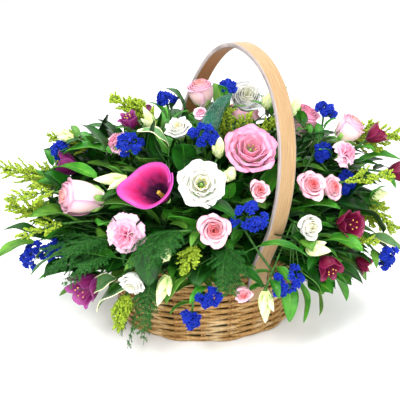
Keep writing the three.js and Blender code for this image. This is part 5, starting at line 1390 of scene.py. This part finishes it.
# Distance from the axis along the hoop, height
HOOP_LINE = [
    (113.6, 62), (114.6, 92), (117.5, 112), (133, 165), (133, 223), (117, 278), (87, 323), (46, 352),
    (0, 362.5), (-35, 352), (-63, 325), (-86, 282), (-98, 240), (-108, 170), (-115, 112), (-114.4, 92),
    (-113.4, 62),
]
# Columns of the band's profile that are its outer and inner face; the rest is its edge
HOOP_OUTER, HOOP_INNER = 11, 3
NAIL = dict(r=114.2, z=80, shift=5, radii=(2, 2, 1.6, 0.6), steps=(-1, 0.2, 0.8, 1.1))


def oval(angle, height, outset):
    """Points on the basket's oval, arrays allowed"""
    rise = height / BASKET["height"]
    x = (BASKET["half_length"] + BASKET["flare_length"] * rise + outset) * np.cos(angle)
    y = (BASKET["half_width"] + BASKET["flare_width"] * rise + outset) * np.sin(angle)
    c, s = math.cos(BASKET["turn"]), math.sin(BASKET["turn"])
    return np.stack(np.broadcast_arrays(x * c - y * s, x * s + y * c, height), axis=-1)


def weave_basket(piece, rod, stake, rng):
    weave_wall(piece, rod, rng)
    set_stakes(piece, stake, rng)
    weave_floor(piece, rod, stake, rng)


def weave_wall(piece, rod, rng):
    """Rods that pass over one stake and under the next, each row against the last"""
    stakes, height = BASKET["stakes"], BASKET["height"]
    angle = circle(stakes * 8)
    for row in range(BASKET["rows"]):
        weave = stakes / 2 * angle + (row + 1) * math.pi
        drift = 0.5 * np.sin(3 * angle + rng.uniform(0, 6)) + 0.35 * np.sin(7 * angle + rng.uniform(0, 6))
        level = (row + 0.5) * height / BASKET["rows"] + 0.9 * np.sin(weave + 0.35) + drift
        thick = ROD_RADIUS + 0.25 * np.sin(5 * angle + rng.uniform(0, 6))
        line = oval(angle, np.clip(level, 2.7, height - 1.6), ROD_SWING * np.cos(weave) - STAKE_INSET)
        piece.tube(line, thick, rod, (rng.random(), 0.5), sides=8, closed=True)


def set_stakes(piece, stake, rng):
    """Pairs of upright stakes"""
    height = np.linspace(1.8, BASKET["height"] + 2, 10)
    for k in range(BASKET["stakes"]):
        for side in (-1, 1):
            angle = (k + side * 0.052) / BASKET["stakes"] * math.tau
            line = oval(angle, height, -STAKE_INSET)
            piece.tube(line, STAKE_RADIUS, stake, (rng.random(), 0.5), sides=8, guide=(1, 0.2, 0))


def weave_floor(piece, rod, stake, rng):
    """Rings of rod under spokes"""
    angle = circle(72)
    for ring in range(FLOOR_RINGS):
        line = oval(angle, 0 * angle, -4.0) * (1 - ring / FLOOR_RINGS)
        line[:, 2] = 2.3 + 0.5 * np.cos(9 * angle + ring * math.pi)
        piece.tube(line, FLOOR_ROD, rod, (rng.random(), 0.5), sides=6, closed=True)
    for k in range(FLOOR_SPOKES):
        turn = (k + 0.5) / FLOOR_SPOKES * math.pi
        ends = oval(np.array([turn, turn + math.pi]), np.zeros(2), -6.0)
        ends[:, 2] = 4.2
        piece.tube(np.linspace(ends[0], ends[1], 8), SPOKE_RADIUS, stake, sides=6, guide=(0.1, 0.2, 1))


def twist_rim(piece, rod, rng):
    """Willow rods twisted together along the top of the wall"""
    angle = circle(260)
    level = np.full_like(angle, BASKET["height"])
    centre = oval(angle, level, -RIM["inset"])
    outward = oval(angle, level, 0) - centre
    outward /= np.linalg.norm(outward, axis=1, keepdims=True)
    centre[:, 2] = BASKET["height"] + RIM["lift"]
    for strand in range(RIM["strands"]):
        turn = (RIM["twists"] * angle + strand * math.tau / RIM["strands"])[:, None]
        line = centre + outward * RIM["out"] * np.cos(turn) + arr(0, 0, RIM["up"]) * np.sin(turn)
        piece.tube(line, RIM["radius"], rod, (rng.random(), 0.5), sides=8, closed=True)


def hoop_point(r, z):
    """A point of the band's middle line; above its feet the hoop leans"""
    lean = HOOP["lean"] * max(0, z - HOOP["lean_from"])
    c, s = math.cos(HOOP["turn"]), math.sin(HOOP["turn"])
    return arr(r * c + lean * s, -r * s + lean * c, z)


def smooth_line(points, per_span):
    """A curve through all the points, its speed set by the square root of the spans"""
    p = [points[0] * 2 - points[1], *points, points[-1] * 2 - points[-2]]
    out = []
    for i in range(1, len(p) - 2):
        t = [0.0]
        for a, b in zip(p[i - 1:i + 2], p[i:i + 3]):
            t.append(t[-1] + math.sqrt(np.linalg.norm(b - a)))
        for s in np.linspace(t[1], t[2], per_span, endpoint=False):
            rows = p[i - 1:i + 3]
            for level in (1, 2):
                spans = [(t[k], t[k + level]) for k in range(4 - level)]
                rows = [((end - s) * rows[k] + (s - start) * rows[k + 1]) / (end - start)
                        for k, (start, end) in enumerate(spans)]
            out.append(((t[2] - s) * rows[0] + (s - t[1]) * rows[1]) / (t[2] - t[1]))
    return np.array(out + [points[-1]])


def hoop_profile():
    """The band across its line: a flat bar with round corners"""
    r = HOOP["corner"]
    w, h = HOOP["width"] / 2 - r, HOOP["thickness"] / 2 - r
    corners = ((w, h, 0), (-w, h, 90), (-w, -h, 180), (w, -h, 270))
    angles = [(x, y, math.radians(start + a)) for x, y, start in corners for a in (0, 30, 60, 90)]
    return np.array([(x + r * math.cos(a), y + r * math.sin(a)) for x, y, a in angles])


def bend_hoop(piece, paints, rng):
    """The band, swept along its line and turned at its feet, with two nails in each foot"""
    line = smooth_line([hoop_point(r, z) for r, z in HOOP_LINE], 8)
    tangent = np.gradient(line, axis=0)
    tangent /= np.linalg.norm(tangent, axis=1, keepdims=True)
    low = np.clip((HOOP["foot_below"] - line[:, 2]) / HOOP["turning"], 0, 1)
    turn = HOOP["turn"] + (HOOP["foot_turn"] - HOOP["turn"]) * low
    across = np.stack([np.sin(turn), np.cos(turn), 0 * turn], axis=-1)
    across -= tangent * np.sum(across * tangent, axis=1, keepdims=True)
    across /= np.linalg.norm(across, axis=1, keepdims=True)
    outward = np.cross(tangent, across)
    profile = hoop_profile()
    n, m = len(line), len(profile)
    fray = 1 + 0.006 * np.array([rng.uniform(-1, 1) for _ in range(n)])
    points = line[:, None] + across[:, None] * (profile[:, 0] * fray[:, None])[..., None]
    points = points + outward[:, None] * profile[None, :, 1, None]
    index = np.arange(n * m).reshape(n, m)
    beside_it = np.roll(index, -1, axis=1)
    faces = np.stack([index[:-1], beside_it[:-1], beside_it[1:], index[1:]], axis=-1)
    u = np.tile(profile[:, 0] / HOOP["width"] + 0.5, n)
    uv = np.stack([u, np.repeat(np.linspace(0, 1, n), m)], axis=-1)
    edges = [k for k in range(m) if k not in (HOOP_OUTER, HOOP_INNER)]
    for columns, face in (([HOOP_OUTER], "outer"), ([HOOP_INNER], "inner"), (edges, "edge")):
        piece.add(points.reshape(-1, 3), faces[:, columns].reshape(-1, 4), uv, paints[face], PLAIN_TONE)
    for end in (0, -1):
        ring = np.concatenate([points[end], line[end][None]])
        caps = [(k, (k + 1) % m, m, m) for k in range(m)]
        piece.add(ring, caps, np.full((m + 1, 2), 0.5), paints["edge"], PLAIN_TONE)
    drive_nails(piece, paints["metal"])


def drive_nails(piece, metal):
    c, s = math.cos(HOOP["foot_turn"]), math.sin(HOOP["foot_turn"])
    for side in (1, -1):
        out = arr(c, -s, 0) * side
        foot = hoop_point(NAIL["r"] * side, NAIL["z"]) + out * (HOOP["thickness"] / 2)
        for shift in (-NAIL["shift"], NAIL["shift"]):
            spot = foot + arr(s, c, 0) * shift
            piece.tube([spot + out * step for step in NAIL["steps"]], NAIL["radii"], metal, sides=10)


# ---------------------------------------------------------------- leaves that fill the mass
HOOP_POINTS = smooth_line([hoop_point(r, z) for r, z in HOOP_LINE], 4)
# Half sizes of the mass of foliage, round a middle just above the rim; it is squarer than an ellipse
MASS = arr(252, 148, 172)
MASS_Z, SQUARENESS = 112, 3.2
# The front stays open below this height and nearer than this to the middle, so that the basket shows
APRON_Z, APRON_X, LOWEST = 104, 118, 64
FILL_LEAVES, FILL_FOOT_Z, BROAD_LEAF = 1700, 106, 30
FILL_LOOKS = ("dark", "dark", "dark", "fresh", "olive")
# How much room a bloom or other head keeps beyond its own radius
BLOOM_ROOM, HEAD_ROOM = 3, 4


def near_hoop(points, gap):
    return np.linalg.norm(points[:, None] - HOOP_POINTS[None], axis=2).min() < gap


def bloom_faces(plants):
    """Middle, axis and radius of the space that leaves keep out of, in front of each bloom"""
    seen = [(arr(*at), unit(facing), R + BLOOM_ROOM) for _, _, _, at, facing, R, _, _ in HEADS]
    broadside = [(arr(*at), max(R, 0.45 * H) + BLOOM_ROOM) for _, _, _, at, _, R, H, _ in HEADS]
    for plant in plants.values():
        broadside += [(centre, radius + HEAD_ROOM) for centre, _, radius in plant["statice"]]
        broadside += [(seat + axis * radius, radius + HEAD_ROOM) for seat, axis, radius in plant["flared"]]
        broadside += [(base + (tip - base) * 0.6, spread * 0.8) for base, tip, spread in plant["plume"]]
        broadside += [(base + axis * length / 2, 0.4 * length) for _, base, axis, _, length in plant["bud"]]
        broad = [leaf for leaf in plant["leaf"] if leaf[3] > BROAD_LEAF]
        broadside += [((base + tip) / 2, 0.4 * width) for _, base, tip, width in broad]
    for centre, reach in broadside:
        side = 1 if centre[1] > 0 else -1
        seen.append((centre, unit(arr(0, 0.94 * side, 0.34)), reach))
    return [np.array(column) for column in zip(*seen)]


def hides_bloom(points, faces):
    """Whether a leaf would stand in a bloom or in front of it"""
    centres, axes, radii = faces
    offset = points[:, None] - centres
    ahead = (offset * axes).sum(axis=2)
    aside = np.linalg.norm(offset - ahead[..., None] * axes, axis=2)
    return ((ahead > -0.6 * radii) & (aside < radii)).any()


def is_clear(start, end, faces):
    """Whether a filling leaf leaves the hoop, the blooms and the front of the basket free"""
    span = np.linspace(start, end, 5)
    low = min(start[2], end[2])
    apron = abs(end[0]) < APRON_X and low < APRON_Z
    return not (near_hoop(span, 16) or hides_bloom(span, faces) or apron or low < LOWEST)


def fill_with_leaves(pieces, plants, paints, rng):
    """Inner foliage that closes the gaps below the blooms, each leaf on its own stalk from the foam"""
    greens = [name for name in plants if name.startswith("greens")]
    centres = {name: np.mean([leaf[1] for leaf in plants[name]["leaf"]], axis=0) for name in greens}
    middle = arr(0, 0, MASS_Z)
    faces = bloom_faces(plants)
    for k in range(FILL_LEAVES):
        lift = -0.3 + 1.27 * (k + 0.5) / FILL_LEAVES
        way = spiral(k, lift)
        way *= MASS / (np.abs(way) ** SQUARENESS).sum() ** (1 / SQUARENESS)
        inner = rng.choice((0.4, 0.56, 0.7)) + rng.uniform(-0.06, 0.06)
        start = middle + way * inner
        end = middle + way * (inner + rng.uniform(0.15, 0.24))
        end += arr(*(rng.uniform(-24, 24) for _ in range(3)))
        if not is_clear(start, end, faces):
            continue
        node = min(greens, key=lambda name: np.linalg.norm(centres[name] - start))
        foot = arr(0.42 * start[0], 0.42 * start[1], FILL_FOOT_Z)
        paint = paints[rng.choice(FILL_LOOKS)]
        width = rng.choice((rng.uniform(16, 26), rng.uniform(24, 34), rng.uniform(32, 46)))
        add_leaf(pieces[node], foot, start, end, width, paint, paints["green"], rng, nu=7, nv=11)


# ---------------------------------------------------------------- the whole
def make_basket(paints, rng):
    basket, rim, hoop = Piece("woven_basket"), Piece("twisted_rim"), Piece("bent_hoop")
    weave_basket(basket, paints["rod"], paints["stake"], rng)
    twist_rim(rim, paints["rod"], rng)
    bend_hoop(hoop, paints, rng)
    basket.build("basket_body")
    rim.build("basket_rim")
    hoop.build("handle")


def make_arrangement(paints, rng):
    pieces = {}
    plants = read_plants()
    make_heads(pieces, paints, rng)
    make_sprigs(pieces, plants, paints, rng)
    add_lime_clusters(pieces, paints, rng)
    fill_with_leaves(pieces, plants, paints, rng)
    for node, piece in pieces.items():
        piece.build(node)


def main():
    rng = random.Random(SEED)
    make_camera()
    make_floor()
    make_light()
    paints = make_paints()
    make_basket(paints, rng)
    dress_foam_and_liner()
    make_arrangement(paints, rng)


main()
